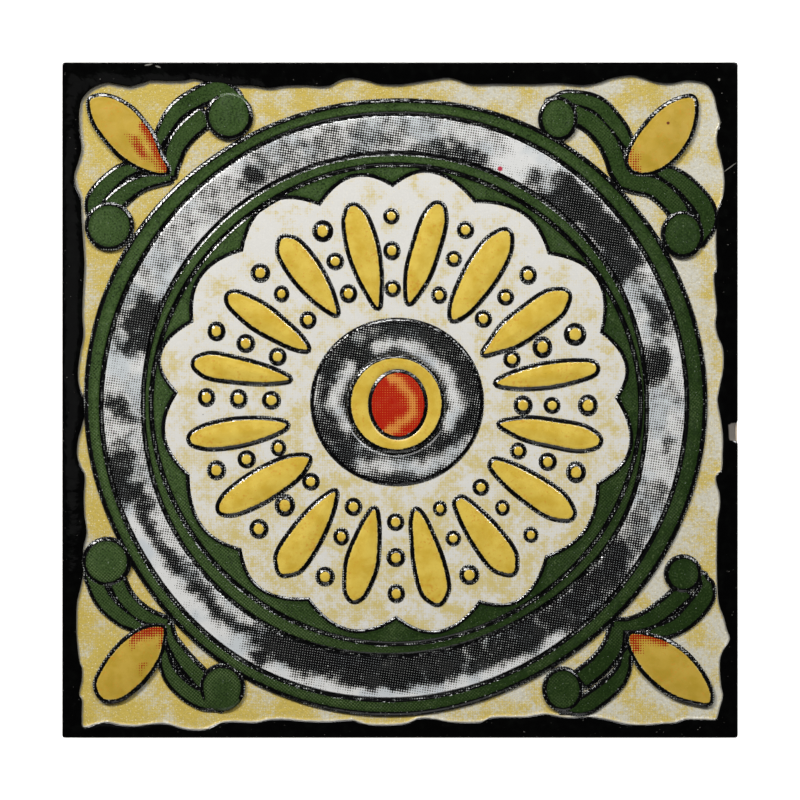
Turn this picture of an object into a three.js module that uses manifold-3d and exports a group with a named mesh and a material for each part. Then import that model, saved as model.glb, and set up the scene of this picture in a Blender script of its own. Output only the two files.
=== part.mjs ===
// Square relief tile with a round medallion: a wavy raised border, a banded
// ring around a scalloped rosette of petals and beads, a round hub, and a bud
// between two curled scrolls in each corner. Fired as one piece.
// Millimetres, face up (+Z), origin at the middle of the back, +Y is the top
// of the picture on the face.
import * as THREE from "three";
import { mergeVertices } from "three/addons/utils/BufferGeometryUtils.js";
import Module from "manifold-3d";

// Body
const tileSide = 100;
const fieldHeight = 7; // from the back to the sunk field
const cornerRadius = 0.7; // plan corners of the tile
const edgeEase = 0.35; // eased arris round the face and the back

// Keyed back
const ribPitch = 10;
const grooveWidth = 5;
const grooveDepth = 0.8;
const grooveEndMargin = 5; // plain clay left at both ends of a groove
const grooveSideMargin = 4; // plain clay left beside the outermost groove

// Border round the field
const frameWidth = 3.1;
const frameRise = 0.5; // top of the border over the field
const frameFlank = 0.4; // run of the sloped wall down to the field

// Round bands, from the outside in
const medallionCenter = [-0.8, -0.8];
const ringToFrame = 1.1; // field left between the ring and the border
const ringWidth = 2.5;
const bandWidth = 5.9;
const innerRingWidth = 1.7;
const crestGap = 1.4; // ground left outside the crests of the rosette
const scallopDepth = 2.5;
const rootDepth = 1; // how deep each raised shape is rooted in the body
const clearAbove = 3; // how far a cutter stands clear over its brim
const ringRise = 0.55;
const bandRise = 0.5;
const innerRingRise = 0.6;
const groundRise = 0.55;
const rosetteRise = 0.3;
const seamFlank = 0.3; // run of the slope down to the seam between two bands

// Hub
const hubCenter = [-0.4, -0.25];
const hubRadius = 12.7;
const hubRise = 0.8;
const collarRadius = 7.3;
const collarRise = 1.0;
const eyeHalfWidth = 4.4;
const eyeHalfHeight = 5.2;
const eyeRise = 1.2;

// Petals and beads
const petalToHub = 2.2;
const petalToScallop = 0.9;
const petalWidth = 4.8;
const petalPoint = 1.2; // length of the pointed tip at the inner end
const petalRise = 0.85;
const motifFlank = 0.5; // run of the slope round a petal, bud, strand or hub
const beadInset = 2.8; // first and last bead from the two ends of a petal
const beadDiameter = 2.8;
const beadRise = 0.85;

// Corners
const budRise = 0.8;
const scrollRise = 0.65;
const ballRise = 0.8;

// Hand-drawn swing of the border: place along a side as a share of half the
// field (left to right, or bottom to top) and how far the clay reaches inward.
const frameWave = {
  top: [[-0.8, 0.5], [-0.62, -0.2], [-0.51, -0.1], [-0.39, 0.85], [-0.24, 0.4],
    [-0.16, -0.7], [-0.05, 0.2], [0.08, 0], [0.15, -0.7], [0.24, 0.2], [0.42, 0.25],
    [0.58, 0.4], [0.72, -1.05], [0.82, -0.05], [0.9, -0.25]],
  right: [[-0.82, -0.3], [-0.76, -1.6], [-0.66, -0.8], [-0.5, -0.1], [-0.3, -0.2],
    [-0.24, 0.1], [-0.14, -0.9], [0, -0.1], [0.13, -0.9], [0.24, 0.25], [0.4, 0.4],
    [0.55, 0], [0.67, -1], [0.83, 0], [0.89, -0.4]],
  bottom: [[-0.83, -1.2], [-0.73, -0.9], [-0.62, -1.8], [-0.53, -0.7], [-0.4, -0.4],
    [-0.16, -0.6], [-0.08, -1.1], [0, -1.1], [0.08, -0.2], [0.23, -0.8], [0.33, 0],
    [0.46, 0.4], [0.6, 0], [0.77, -1.1], [0.9, -0.4]],
  left: [[-0.87, -0.3], [-0.75, -0.9], [-0.6, -0.9], [-0.47, 0.1], [-0.41, 0.5],
    [-0.26, 0.2], [-0.17, -0.9], [-0.05, 0], [0.07, -0.7], [0.2, 0], [0.45, 0.2],
    [0.6, 0], [0.71, -1.2], [0.79, -0.3], [0.86, -0.5]],
};

// How far the clay reaches inward in x and y at each corner of the field.
const frameCorners = {
  bottomRight: [0.3, -0.2],
  topRight: [1.4, 1],
  topLeft: [1.4, 1.2],
  bottomLeft: [-0.1, -1.5],
};

// Hand-drawn swing of each round line, every 30 degrees from +X.
const ringSwing = [0.3, 0.35, 0.25, -0.3, -0.2, 0.2, 0, -0.4, 0.2, 0.05, -0.6, -0.2];
const bandSwing = [-0.05, 0, 0.3, -0.15, 0, -0.1, 0.1, 0, 0.6, 0.25, -0.35, -0.4];
const innerRingSwing = [-0.1, 0.25, 0.1, 0, 0.1, 0.3, 0, 0.1, 0.1, -0.6, -0.55, 0.4];
const groundSwing = [0.8, 0.2, -0.2, -0.2, -0.25, 0, 0.5, -0.2, -0.4, -0.4, -0.6, 0.1];

// Scallops of the rosette: angle of a cusp, then how far the cusp and the
// crest after it lie outside their mean circles.
const scallops = [
  [2, 0.6, 0.2], [19.5, 0.2, 0.8], [44.5, -0.2, -0.4], [68.5, 0.2, 0.4],
  [91, 0.3, -0.1], [110.5, -0.5, 0.7], [134.5, 0, -0.1], [157.5, 0.2, 0.9],
  [176.5, 0.1, -0.2], [198.5, 0, -0.7], [223, -0.8, -0.7], [246, -0.8, -0.8],
  [268.5, -0.8, -0.6], [293.5, -0.4, -0.4], [315, -0.3, -0.7], [339, 0, 0.9],
];

// Petals: angle of the pointed inner end and of the round outer end, how far
// each end lies outside its mean circle, and how far the width strays.
const petals = [
  [12.2, 10.6, 0, 0, -0.7], [30, 33, -0.2, 0.1, 0.2], [56, 57, -0.1, 0.3, 0.5],
  [82, 77.6, -0.1, 0.1, -0.3], [99.8, 102, -0.2, -0.2, 0], [122.5, 123.8, 0.6, -0.6, 0.1],
  [147.3, 146.4, -0.1, -0.9, -0.3], [166, 168, 0.6, -0.1, -0.5], [190.3, 189.4, 0.8, 0.3, -0.3],
  [211.5, 210.8, -0.5, -0.2, 0.3], [235.5, 236, 0.1, -0.4, 0.3], [258.8, 258, 0.2, -0.9, 0.2],
  [281.6, 282.5, 0.4, -0.4, -0.3], [304, 305.3, 1.4, -0.1, 0], [329.8, 328, 1.3, 0.6, -0.1],
  [350, 350, 0.4, 0.4, -0.3],
];

// Bead rows: angle, then how far the three diameters stray, inside first.
const beadRows = [
  [0, 0.2, -0.2, 0.4], [21.5, -0.1, 0.6, 0.6], [44.4, -0.1, -0.1, 0],
  [67.5, 0, -0.3, 0], [91.5, 0, 0.2, -0.1], [112.6, 0, 0.1, 0.5],
  [135.4, -0.3, -0.3, -0.2], [157.3, -0.1, 0.1, 0.1], [177, 0, 0, -0.1],
  [199.6, -0.2, 0, 0.3], [222, -0.4, 0.5, 0.2], [247.3, 0, -0.1, 0.3],
  [270.8, -0.1, 0.2, 0.1], [293.5, -0.5, -0.5, 0.5], [316.4, -0.3, -0.6, -0.4],
  [339.6, 0, 0.2, 0.4],
];

// Corner drawings, as offsets from the point where the diagonal of the tile
// meets the mean circle of the ring. A strand is [x, y, width] along its
// middle line, a bud is its outline, a ball is [x, y, diameter].
const corners = [
  {
    side: [-1, 1],
    bud: [[-1.9, 1.2], [-5.6, 1.8], [-8.6, 3.3], [-11, 6.2], [-13.3, 9.9], [-13.6, 12],
      [-12, 12.7], [-9.7, 12.2], [-7.2, 10.6], [-5.2, 8.4], [-3.7, 6], [-2.5, 3.6]],
    strands: [
      [[-3.1, 5.6, 1.2], [-2.2, 7.7, 1.9], [-0.6, 10.6, 2.3], [2.4, 12.7, 2.5],
        [5.2, 13.7, 2.4], [8, 13.4, 2.2], [9.8, 11.4, 2]],
      [[-1.4, 0.2, 1.2], [-1.6, 2.8, 2], [-1, 5.1, 2.4], [0.4, 7, 2.6], [2.4, 9.1, 2.6]],
      [[-6.5, 1.9, 1.6], [-8.2, 1.7, 2], [-10, 0.4, 2.3], [-11.6, -1.2, 2.3], [-12.5, -3, 2.2]],
      [[-1.4, 0.2, 1.2], [-4.1, 0.1, 1.8], [-6, 0, 2], [-7.8, -0.9, 2.4], [-9.6, -2.4, 2.6]],
    ],
    balls: [[7.1, 9.6, 6.6], [-10.5, -6.6, 6.7]],
  },
  {
    side: [1, 1],
    bud: [[1.2, 1.8], [1.5, 4.6], [3, 7.2], [4.9, 9.4], [7.2, 11.4], [9.4, 12.4], [11.4, 12.7],
      [11.7, 9.8], [10.8, 6.4], [8.9, 3.6], [6.3, 1.5], [3.6, 0.6]],
    strands: [
      [[1.3, 6, 1.5], [0.7, 7.6, 2], [-0.6, 9.6, 2.4], [-2.4, 11.5, 2.4], [-4.7, 12.5, 2.4],
        [-7, 12.5, 2]],
      [[0.2, -0.4, 1.4], [-0.2, 1.8, 2.2], [-0.8, 3.6, 2.7], [-1.9, 6, 2.6], [-3.1, 7.8, 2.6],
        [-5, 9.5, 2.6]],
      [[6.4, 1.5, 1.8], [8.5, 1.3, 2.3], [10.6, 0.2, 2.4], [12.4, -1.6, 2.4], [13.5, -3.8, 2.4],
        [13.8, -6.2, 2.2], [13.2, -8, 1.4]],
      [[0.3, -0.5, 1.4], [3, 0, 2.2], [5, 0.1, 2.4], [6.6, -0.8, 2.6], [8, -2.2, 2.6],
        [9.1, -4, 2.6]],
    ],
    balls: [[-8.9, 8.9, 6.3], [9.2, -7.2, 6.5]],
  },
  {
    side: [-1, -1],
    bud: [[-2.2, -0.9], [-5.9, -1.5], [-9.1, -3.6], [-11.7, -7], [-12.9, -10.2], [-11.7, -12.2],
      [-9.2, -12.1], [-6.9, -10.8], [-4.7, -8.6], [-2.9, -5.5], [-2.2, -3]],
    strands: [
      [[-1.8, -0.1, 1.2], [-4.3, 0, 1.8], [-6.2, 1.2, 2.2], [-7.8, 2.9, 2.3], [-9.2, 4.8, 2.3]],
      [[-6, -1.5, 1.6], [-7.6, -0.9, 2], [-9.7, 0.7, 2.1], [-11.4, 2.6, 2.1], [-12.6, 4.9, 2.1]],
      [[-1.9, -0.7, 1.2], [-1.8, -2.6, 1.7], [-0.9, -4.3, 2.1], [0.5, -6.2, 2.4], [2.6, -8.6, 2.4]],
      [[-2.3, -5.2, 1.2], [-2.1, -7.2, 1.8], [-0.7, -9.6, 2.1], [1.4, -11.4, 2.4],
        [3.8, -12.4, 2.4], [6, -12.6, 2]],
    ],
    balls: [[-11, 8.5, 6.6], [6.1, -10.2, 6.8]],
  },
  {
    side: [1, -1],
    bud: [[1.4, -2.4], [4.3, -2], [7.1, -2.9], [10.4, -5.6], [12.8, -8.9], [14, -12],
      [12.4, -12.8], [9, -12.1], [5.5, -10.2], [2.9, -7], [1.5, -4.4]],
    strands: [
      [[0, -1, 1.4], [2.4, -0.7, 2], [4.7, 0.2, 2.3], [6.8, 1.8, 2.5], [8.9, 3.5, 2.5]],
      [[5.2, -2, 1.6], [7.1, -1.7, 2.2], [9.5, -0.6, 2.5], [11.6, 1.4, 2.5], [13, 3.5, 2.5],
        [13.3, 5.4, 2.1], [12.6, 7, 1.4]],
      [[-0.2, -1.5, 1.4], [-0.3, -3.2, 2.1], [-1.2, -5.1, 2.4], [-2.8, -6.8, 2.5],
        [-4.9, -8.5, 2.5]],
      [[1.2, -5, 1.4], [0.9, -7.2, 2.1], [-0.3, -9.1, 2.4], [-2.2, -11, 2.5], [-4.4, -12.5, 2.4],
        [-6.4, -13.1, 2]],
    ],
    balls: [[9.6, 6.6, 6], [-8.2, -10.2, 6.2]],
  },
];

// Sizes that follow from the ones above
const fieldHalf = tileSide / 2 - frameWidth;
const ringRadius = fieldHalf - ringToFrame;
const bandRadius = ringRadius - ringWidth;
const innerRingRadius = bandRadius - bandWidth;
const groundRadius = innerRingRadius - innerRingWidth;
const crestRadius = groundRadius - crestGap;
const cuspRadius = crestRadius - scallopDepth;
const petalInnerRadius = hubRadius + petalToHub;
const petalOuterRadius = cuspRadius - petalToScallop;

const wasm = await Module();
wasm.setup();

function toSolid(geometry) {
  const bare = geometry.clone();
  bare.deleteAttribute("normal");
  bare.deleteAttribute("uv");
  const merged = mergeVertices(bare);
  return new wasm.Manifold(new wasm.Mesh({
    numProp: 3,
    vertProperties: new Float32Array(merged.attributes.position.array),
    triVerts: new Uint32Array(merged.index.array),
  }));
}

function smoothLoop(points, steps) {
  const curve = new THREE.CatmullRomCurve3(
    points.map(([x, y]) => new THREE.Vector3(x, y, 0)), true, "centripetal");
  return curve.getPoints(points.length * steps).slice(0, -1)
    .map((p) => new THREE.Vector2(p.x, p.y));
}

// A raised shape: its flank slopes from the outline at the level of its foot
// up to its top, and it is rooted in the body below.
function pad(outline, { foot = 0, top, flank = motifFlank, holes = [] }) {
  const shape = new THREE.Shape(outline);
  shape.holes = holes.map((hole) => new THREE.Path(hole));
  const geometry = new THREE.ExtrudeGeometry(shape, {
    depth: rootDepth + foot,
    bevelEnabled: true,
    bevelThickness: top - foot,
    bevelSize: flank,
    bevelOffset: -flank,
    bevelSegments: 1,
    curveSegments: 1,
  });
  geometry.translate(0, 0, fieldHeight - rootDepth);
  return toSolid(geometry);
}

function polar(radius, degrees, center = medallionCenter) {
  const angle = THREE.MathUtils.degToRad(degrees);
  return [center[0] + radius * Math.cos(angle), center[1] + radius * Math.sin(angle)];
}

function roundLine(radius, swing, steps) {
  return smoothLoop(swing.map((stray, i) => polar(radius + stray, (i * 360) / swing.length)), steps);
}

function ellipseLine(center, halfWidth, halfHeight, count) {
  return new THREE.EllipseCurve(center[0], center[1], halfWidth, halfHeight)
    .getPoints(count).slice(0, -1);
}

// Body with its border, sunk field and keyed back
function tileBody() {
  const half = tileSide / 2;
  const shape = new THREE.Shape();
  shape.moveTo(-half + cornerRadius, -half);
  shape.lineTo(half - cornerRadius, -half);
  shape.absarc(half - cornerRadius, -half + cornerRadius, cornerRadius, -Math.PI / 2, 0);
  shape.lineTo(half, half - cornerRadius);
  shape.absarc(half - cornerRadius, half - cornerRadius, cornerRadius, 0, Math.PI / 2);
  shape.lineTo(-half + cornerRadius, half);
  shape.absarc(-half + cornerRadius, half - cornerRadius, cornerRadius, Math.PI / 2, Math.PI);
  shape.lineTo(-half, -half + cornerRadius);
  shape.absarc(-half + cornerRadius, -half + cornerRadius, cornerRadius, Math.PI, Math.PI * 1.5);
  const geometry = new THREE.ExtrudeGeometry(shape, {
    depth: fieldHeight + frameRise - 2 * edgeEase,
    bevelEnabled: true,
    bevelThickness: edgeEase,
    bevelSize: edgeEase,
    bevelOffset: -edgeEase,
    bevelSegments: 2,
    curveSegments: 3,
  });
  geometry.translate(0, 0, edgeEase);
  return toSolid(geometry);
}

function fieldOutline() {
  const along = (share) => share * fieldHalf;
  const corner = (sideX, sideY, [reachX, reachY]) =>
    [sideX * (fieldHalf - reachX), sideY * (fieldHalf - reachY)];
  const points = [
    ...frameWave.bottom.map(([at, reach]) => [along(at), -fieldHalf + reach]),
    corner(1, -1, frameCorners.bottomRight),
    ...frameWave.right.map(([at, reach]) => [fieldHalf - reach, along(at)]),
    corner(1, 1, frameCorners.topRight),
    ...frameWave.top.map(([at, reach]) => [along(at), fieldHalf - reach]).reverse(),
    corner(-1, 1, frameCorners.topLeft),
    ...frameWave.left.map(([at, reach]) => [-fieldHalf + reach, along(at)]).reverse(),
    corner(-1, -1, frameCorners.bottomLeft),
  ];
  return smoothLoop(points, 1);
}

// A cutter for a sunk area: its wall slopes from the outline at the brim down
// to the floor.
function pocket(outline, { floor, brim, flank }) {
  const geometry = new THREE.ExtrudeGeometry(new THREE.Shape(outline), {
    depth: clearAbove,
    bevelEnabled: true,
    bevelThickness: brim - floor,
    bevelSize: flank,
    bevelOffset: -flank,
    bevelSegments: 1,
    curveSegments: 1,
  });
  geometry.translate(0, 0, fieldHeight + brim);
  return toSolid(geometry);
}

function backGrooves() {
  const reach = tileSide / 2 - grooveSideMargin - grooveWidth / 2;
  const grooves = [];
  for (let y = ribPitch / 2; y <= reach; y += ribPitch) {
    for (const side of [-1, 1]) {
      const geometry = new THREE.BoxGeometry(
        tileSide - 2 * grooveEndMargin, grooveWidth, 2 * grooveDepth);
      geometry.translate(0, side * y, 0);
      grooves.push(toSolid(geometry));
    }
  }
  return grooves;
}

// Medallion
function roundBands() {
  const ring = roundLine(ringRadius, ringSwing, 5);
  const band = roundLine(bandRadius, bandSwing, 5);
  const innerRing = roundLine(innerRingRadius, innerRingSwing, 5);
  const ground = roundLine(groundRadius, groundSwing, 5);
  const sunkRosette = pocket(rosetteLine(),
    { floor: rosetteRise, brim: groundRise, flank: seamFlank });
  return [
    pad(ring, { top: ringRise, flank: seamFlank, holes: [band] }),
    pad(band, { top: bandRise, flank: seamFlank, holes: [innerRing] }),
    pad(innerRing, { top: innerRingRise, flank: seamFlank, holes: [ground] }),
    pad(ground, { top: groundRise, flank: seamFlank }).subtract(sunkRosette),
  ];
}

function rosetteLine() {
  const stepsPerScallop = 6;
  const line = [];
  scallops.forEach(([angle, cuspStray, crestStray], i) => {
    const next = scallops[(i + 1) % scallops.length];
    const span = (next[0] - angle + 360) % 360;
    for (let step = 0; step < stepsPerScallop; step += 1) {
      const share = step / stepsPerScallop;
      const low = cuspRadius + THREE.MathUtils.lerp(cuspStray, next[1], share);
      const high = crestRadius + crestStray;
      const radius = low + (high - low) * Math.sin(Math.PI * share);
      line.push(new THREE.Vector2(...polar(radius, angle + span * share)));
    }
  });
  return line;
}

function petalPad([innerAngle, outerAngle, innerStray, outerStray, widthStray]) {
  const inner = new THREE.Vector2(...polar(petalInnerRadius + innerStray, innerAngle));
  const outer = new THREE.Vector2(...polar(petalOuterRadius + outerStray, outerAngle));
  const axis = outer.clone().sub(inner);
  const length = axis.length();
  axis.normalize();
  const across = new THREE.Vector2(-axis.y, axis.x);
  const half = (petalWidth + widthStray) / 2;
  const flank = [[petalPoint / 2, 0.3], [petalPoint * 2, 0.66], [length * 0.4, 0.95],
    [length * 0.62, 1], [length * 0.82, 0.84], [length * 0.95, 0.46]];
  const at = (along, side) => [
    inner.x + axis.x * along + across.x * side,
    inner.y + axis.y * along + across.y * side,
  ];
  const outline = [
    at(0, 0),
    ...flank.map(([along, share]) => at(along, -share * half)),
    at(length, 0),
    ...flank.map(([along, share]) => at(along, share * half)).reverse(),
  ];
  return pad(smoothLoop(outline, 1), { foot: rosetteRise, top: petalRise });
}

function dome([x, y], diameter, { foot = 0, top, segments }) {
  const radius = diameter / 2;
  const profile = [
    new THREE.Vector2(0, -rootDepth),
    new THREE.Vector2(radius, -rootDepth),
    new THREE.Vector2(radius, foot),
    new THREE.Vector2(radius * 0.65, THREE.MathUtils.lerp(foot, top, 0.85)),
    new THREE.Vector2(0, top),
  ];
  const geometry = new THREE.LatheGeometry(profile, segments);
  geometry.rotateX(Math.PI / 2);
  geometry.translate(x, y, fieldHeight);
  return toSolid(geometry);
}

function beads() {
  const inner = petalInnerRadius + beadInset;
  const outer = petalOuterRadius - beadInset;
  const rows = [inner, (inner + outer) / 2, outer];
  return beadRows.flatMap(([angle, ...strays]) => strays.map((stray, i) =>
    dome(polar(rows[i], angle), beadDiameter + stray,
      { foot: rosetteRise, top: beadRise, segments: 8 })));
}

function hub() {
  return [
    pad(ellipseLine(hubCenter, hubRadius, hubRadius, 44), { foot: rosetteRise, top: hubRise }),
    pad(ellipseLine(hubCenter, collarRadius, collarRadius, 32), { foot: hubRise, top: collarRise }),
    pad(ellipseLine(hubCenter, eyeHalfWidth, eyeHalfHeight, 24), { foot: collarRise, top: eyeRise }),
  ];
}

// Corners
function strandPad(strand, anchor) {
  const middle = new THREE.CatmullRomCurve3(
    strand.map(([x, y, width]) => new THREE.Vector3(anchor[0] + x, anchor[1] + y, width)),
    false, "centripetal");
  const stations = middle.getPoints(Math.round((strand.length - 1) * 1.5));
  const left = [];
  const right = [];
  stations.forEach((point, i) => {
    const before = stations[Math.max(i - 1, 0)];
    const after = stations[Math.min(i + 1, stations.length - 1)];
    const turn = new THREE.Vector2(before.y - after.y, after.x - before.x).normalize();
    turn.multiplyScalar(point.z / 2);
    left.push(new THREE.Vector2(point.x + turn.x, point.y + turn.y));
    right.push(new THREE.Vector2(point.x - turn.x, point.y - turn.y));
  });
  return pad([...right, ...left.reverse()], { top: scrollRise, flank: seamFlank });
}

function cornerPieces({ side, bud, strands, balls }) {
  const reach = ringRadius * Math.SQRT1_2;
  const anchor = [side[0] * reach, side[1] * reach];
  const placed = bud.map(([x, y]) => [anchor[0] + x, anchor[1] + y]);
  return [
    ...strands.map((strand) => strandPad(strand, anchor)),
    ...balls.map(([x, y, diameter]) =>
      dome([anchor[0] + x, anchor[1] + y], diameter, { top: ballRise, segments: 16 })),
    pad(smoothLoop(placed, 2), { top: budRise }),
  ];
}

// Join everything into the one fired piece
const raised = [
  ...roundBands(),
  ...petals.map(petalPad),
  ...beads(),
  ...hub(),
  ...corners.flatMap(cornerPieces),
];
const sunkField = pocket(fieldOutline(), { floor: 0, brim: frameRise, flank: frameFlank });
const cut = [sunkField, ...backGrooves()];
const sunk = cut.reduce((body, tool) => body.subtract(tool), tileBody());
const fired = raised.reduce((body, piece) => body.add(piece), sunk);

const mesh = fired.getMesh();
const geometry = new THREE.BufferGeometry();
geometry.setAttribute("position", new THREE.BufferAttribute(mesh.vertProperties, 3));
geometry.setIndex(new THREE.BufferAttribute(mesh.triVerts, 1));
geometry.computeVertexNormals();

const glaze = new THREE.MeshStandardMaterial({ color: 0xd9cfae, roughness: 0.25, metalness: 0 });
const tile = new THREE.Mesh(geometry, glaze);
tile.name = "tile";

const part = new THREE.Group();
part.add(tile);
export default part;
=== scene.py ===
import math

import bmesh
import bpy
import numpy as np
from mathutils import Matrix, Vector, kdtree, noise
from mathutils.geometry import interpolate_bezier


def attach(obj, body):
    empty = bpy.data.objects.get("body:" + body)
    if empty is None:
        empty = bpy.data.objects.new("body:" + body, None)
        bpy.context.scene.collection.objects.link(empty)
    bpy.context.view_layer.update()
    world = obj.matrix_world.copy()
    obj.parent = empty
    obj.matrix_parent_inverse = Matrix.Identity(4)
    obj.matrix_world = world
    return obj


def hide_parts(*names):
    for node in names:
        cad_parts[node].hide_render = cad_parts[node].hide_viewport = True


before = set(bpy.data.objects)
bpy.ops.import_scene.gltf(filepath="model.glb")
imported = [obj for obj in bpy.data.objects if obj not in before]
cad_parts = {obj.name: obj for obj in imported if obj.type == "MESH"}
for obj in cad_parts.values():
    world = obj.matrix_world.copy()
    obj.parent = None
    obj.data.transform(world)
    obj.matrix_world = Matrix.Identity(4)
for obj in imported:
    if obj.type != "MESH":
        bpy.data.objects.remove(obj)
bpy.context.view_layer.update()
mm = 0.001
noise.seed_set(7)  # so that the prints drift alike in each run

# Relief tile with a round medallion, modelled in millimetres and brought to
# metres piece by piece. Heights are above the underside.
tileSize = {"half": 50, "cornerRadius": 0.35, "field": 7.0, "frameTop": 7.5, "arris": 0.16}
middle = (-0.8, -0.8)  # of the rings and of the rosette


# Drawing lines

def polar(radius, degrees, center=middle):
    angle = math.radians(degrees)
    return (center[0] + radius * math.cos(angle), center[1] + radius * math.sin(angle))


def evenLine(line, count):
    ring = np.array([tuple(point)[:2] for point in line])
    ring = np.vstack([ring, ring[:1]])
    along = np.concatenate([[0], np.cumsum(np.hypot(*np.diff(ring, axis=0).T))])
    places = np.linspace(0, along[-1], count, endpoint=False)
    return [(float(np.interp(at, along, ring[:, 0])), float(np.interp(at, along, ring[:, 1])))
            for at in places]


def smoothLine(points, count):
    corners = [Vector((x, y, 0)) for x, y in points]
    line = []
    for i, here in enumerate(corners):
        before = corners[i - 1]
        after = corners[(i + 1) % len(corners)]
        beyond = corners[(i + 2) % len(corners)]
        span = (after - here).length
        leaving = (after - before) / (span + (here - before).length)
        arriving = (beyond - here) / (span + (beyond - after).length)
        line += interpolate_bezier(
            here, here + leaving * span / 3, after - arriving * span / 3, after, 12)[:-1]
    return evenLine(line, count)


def swungCircle(radii, count):
    line = []
    for step in range(count):
        i, share = divmod(step * len(radii) / count, 1)
        a, b, c, d = (radii[(int(i) + k) % len(radii)] for k in (-1, 0, 1, 2))
        curve = 2 * a - 5 * b + 4 * c - d + share * (3 * (b - c) + d - a)
        radius = b + 0.5 * share * (c - a + share * curve)
        line.append(polar(radius, 360 * step / count))
    return line


def ellipseLine(center, halfWidth, halfHeight, count):
    return [(center[0] + halfWidth * math.cos(2 * math.pi * i / count),
             center[1] + halfHeight * math.sin(2 * math.pi * i / count)) for i in range(count)]


def lineTree(line):
    tree = kdtree.KDTree(len(line))
    for i, (x, y) in enumerate(line):
        tree.insert((x, y, 0), i)
    tree.balance()
    return tree


def grown(line, distance):
    # Moves each point of an anticlockwise line outwards, square to the line,
    # and bridges the spots where the moved line would cross itself.
    moved = []
    for i, (x, y) in enumerate(line):
        x1, y1 = line[i - 1]
        x2, y2 = line[(i + 1) % len(line)]
        length = math.hypot(x2 - x1, y2 - y1)
        moved.append((x + distance * (y2 - y1) / length, y - distance * (x2 - x1) / length))
    tree = lineTree(line)
    sound = [i for i, (x, y) in enumerate(moved) if tree.find((x, y, 0))[2] >= 0.93 * abs(distance)]
    xs = np.interp(range(len(line)), sound, [moved[i][0] for i in sound], period=len(line))
    ys = np.interp(range(len(line)), sound, [moved[i][1] for i in sound], period=len(line))
    return [(float(x), float(y)) for x, y in zip(xs, ys)]


# Shaping in edit mode

def selectedFaces(piece):
    drawn = bmesh.from_edit_mesh(piece.data)
    return drawn, [face for face in drawn.faces if face.select]


def leaveEditMode():
    if bpy.context.mode == "EDIT_MESH":
        bpy.ops.object.mode_set(mode="OBJECT")


def facesUp(piece):
    drawn, faces = selectedFaces(piece)
    drawn.normal_update()
    if sum(face.normal.z * face.calc_area() for face in faces) < 0:
        bpy.ops.mesh.flip_normals()


def addPad(name, line, height):
    # A flat face with the given outline, left in edit mode and selected.
    bpy.ops.object.select_all(action="DESELECT")
    bpy.ops.mesh.primitive_circle_add(vertices=len(line), fill_type="NGON")
    piece = bpy.context.object
    piece.name = name
    for vertex, (x, y) in zip(piece.data.vertices, line):
        vertex.co = (x, y, height)
    bpy.ops.object.mode_set(mode="EDIT")
    bpy.ops.mesh.select_mode(type="FACE")
    bpy.ops.mesh.select_all(action="SELECT")
    facesUp(piece)
    return piece


def addHoop(name, outer, inner, height):
    # A flat band between two lines of as many points, left in edit mode.
    bpy.ops.object.select_all(action="DESELECT")
    bpy.ops.mesh.primitive_circle_add(vertices=len(outer), fill_type="NOTHING")
    piece = bpy.context.object
    piece.name = name
    bpy.ops.object.mode_set(mode="EDIT")
    bpy.ops.mesh.select_mode(type="EDGE")
    bpy.ops.mesh.primitive_circle_add(vertices=len(inner), fill_type="NOTHING")
    drawn = bmesh.from_edit_mesh(piece.data)
    for vertex, (x, y) in zip(drawn.verts, outer + inner):
        vertex.co = (x, y, height)
    bmesh.update_edit_mesh(piece.data)
    bpy.ops.mesh.select_all(action="SELECT")
    bpy.ops.mesh.bridge_edge_loops()
    bpy.ops.mesh.select_mode(type="FACE")
    bpy.ops.mesh.select_all(action="SELECT")
    facesUp(piece)
    return piece


def stepIn(steps):
    for inward, rise in steps:
        bpy.ops.mesh.inset(thickness=inward, depth=0)
        bpy.ops.transform.translate(value=(0, 0, rise))


def shrinkIn(steps, center):
    for share, rise in steps:
        bpy.ops.mesh.inset(thickness=0, depth=0)
        bpy.ops.transform.resize(value=(share, share, 1), center_override=(*center, 0))
        bpy.ops.transform.translate(value=(0, 0, rise))


def cutAcross(piece, cuts):
    # Splits the selected band of faces lengthwise.
    drawn, faces = selectedFaces(piece)
    kept = set(faces)
    bpy.ops.mesh.select_mode(type="EDGE")
    rungs = [edge for edge in drawn.edges
             if len(edge.link_faces) == 2 and kept.issuperset(edge.link_faces)]
    for edge in drawn.edges:
        edge.select = False
    for edge in rungs:
        edge.select = True
    drawn.select_flush_mode()
    bmesh.update_edit_mesh(piece.data)
    bpy.ops.mesh.subdivide(number_cuts=cuts)


def joinPieces(name, parts):
    bpy.ops.object.select_all(action="DESELECT")
    for part in parts:
        part.select_set(True)
    bpy.context.view_layer.objects.active = parts[0]
    bpy.ops.object.join()
    joined = bpy.context.object
    joined.name = name
    return joined


def measureInk(piece, lines):
    # Notes at each point how far it lies from its outline, in line widths.
    leaveEditMode()
    trees = [(lineTree(line), width) for line, width in lines]
    places = [(vertex.co.x, vertex.co.y, 0) for vertex in piece.data.vertices]
    writeNote(piece, "ink", [min(tree.find(place)[2] / width for tree, width in trees)
                             for place in places])


def swell(piece, lines, height):
    # Crowns a band between its two lines.
    leaveEditMode()
    trees = [lineTree(line) for line in lines]
    for vertex in piece.data.vertices:
        near, far = (tree.find((vertex.co.x, vertex.co.y, 0))[2] for tree in trees)
        share = near / (near + far) if near + far > 0 else 0
        vertex.co.z += height * 4 * share * (1 - share)


def smoothStep(value, low, high):
    share = np.clip((value - low) / (high - low), 0, 1)
    return share * share * (3 - 2 * share)


def writeNote(piece, name, values):
    note = piece.data.attributes.new(name, "FLOAT", "POINT")
    note.data.foreach_set("value", np.array(values, dtype=np.float32))


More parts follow.
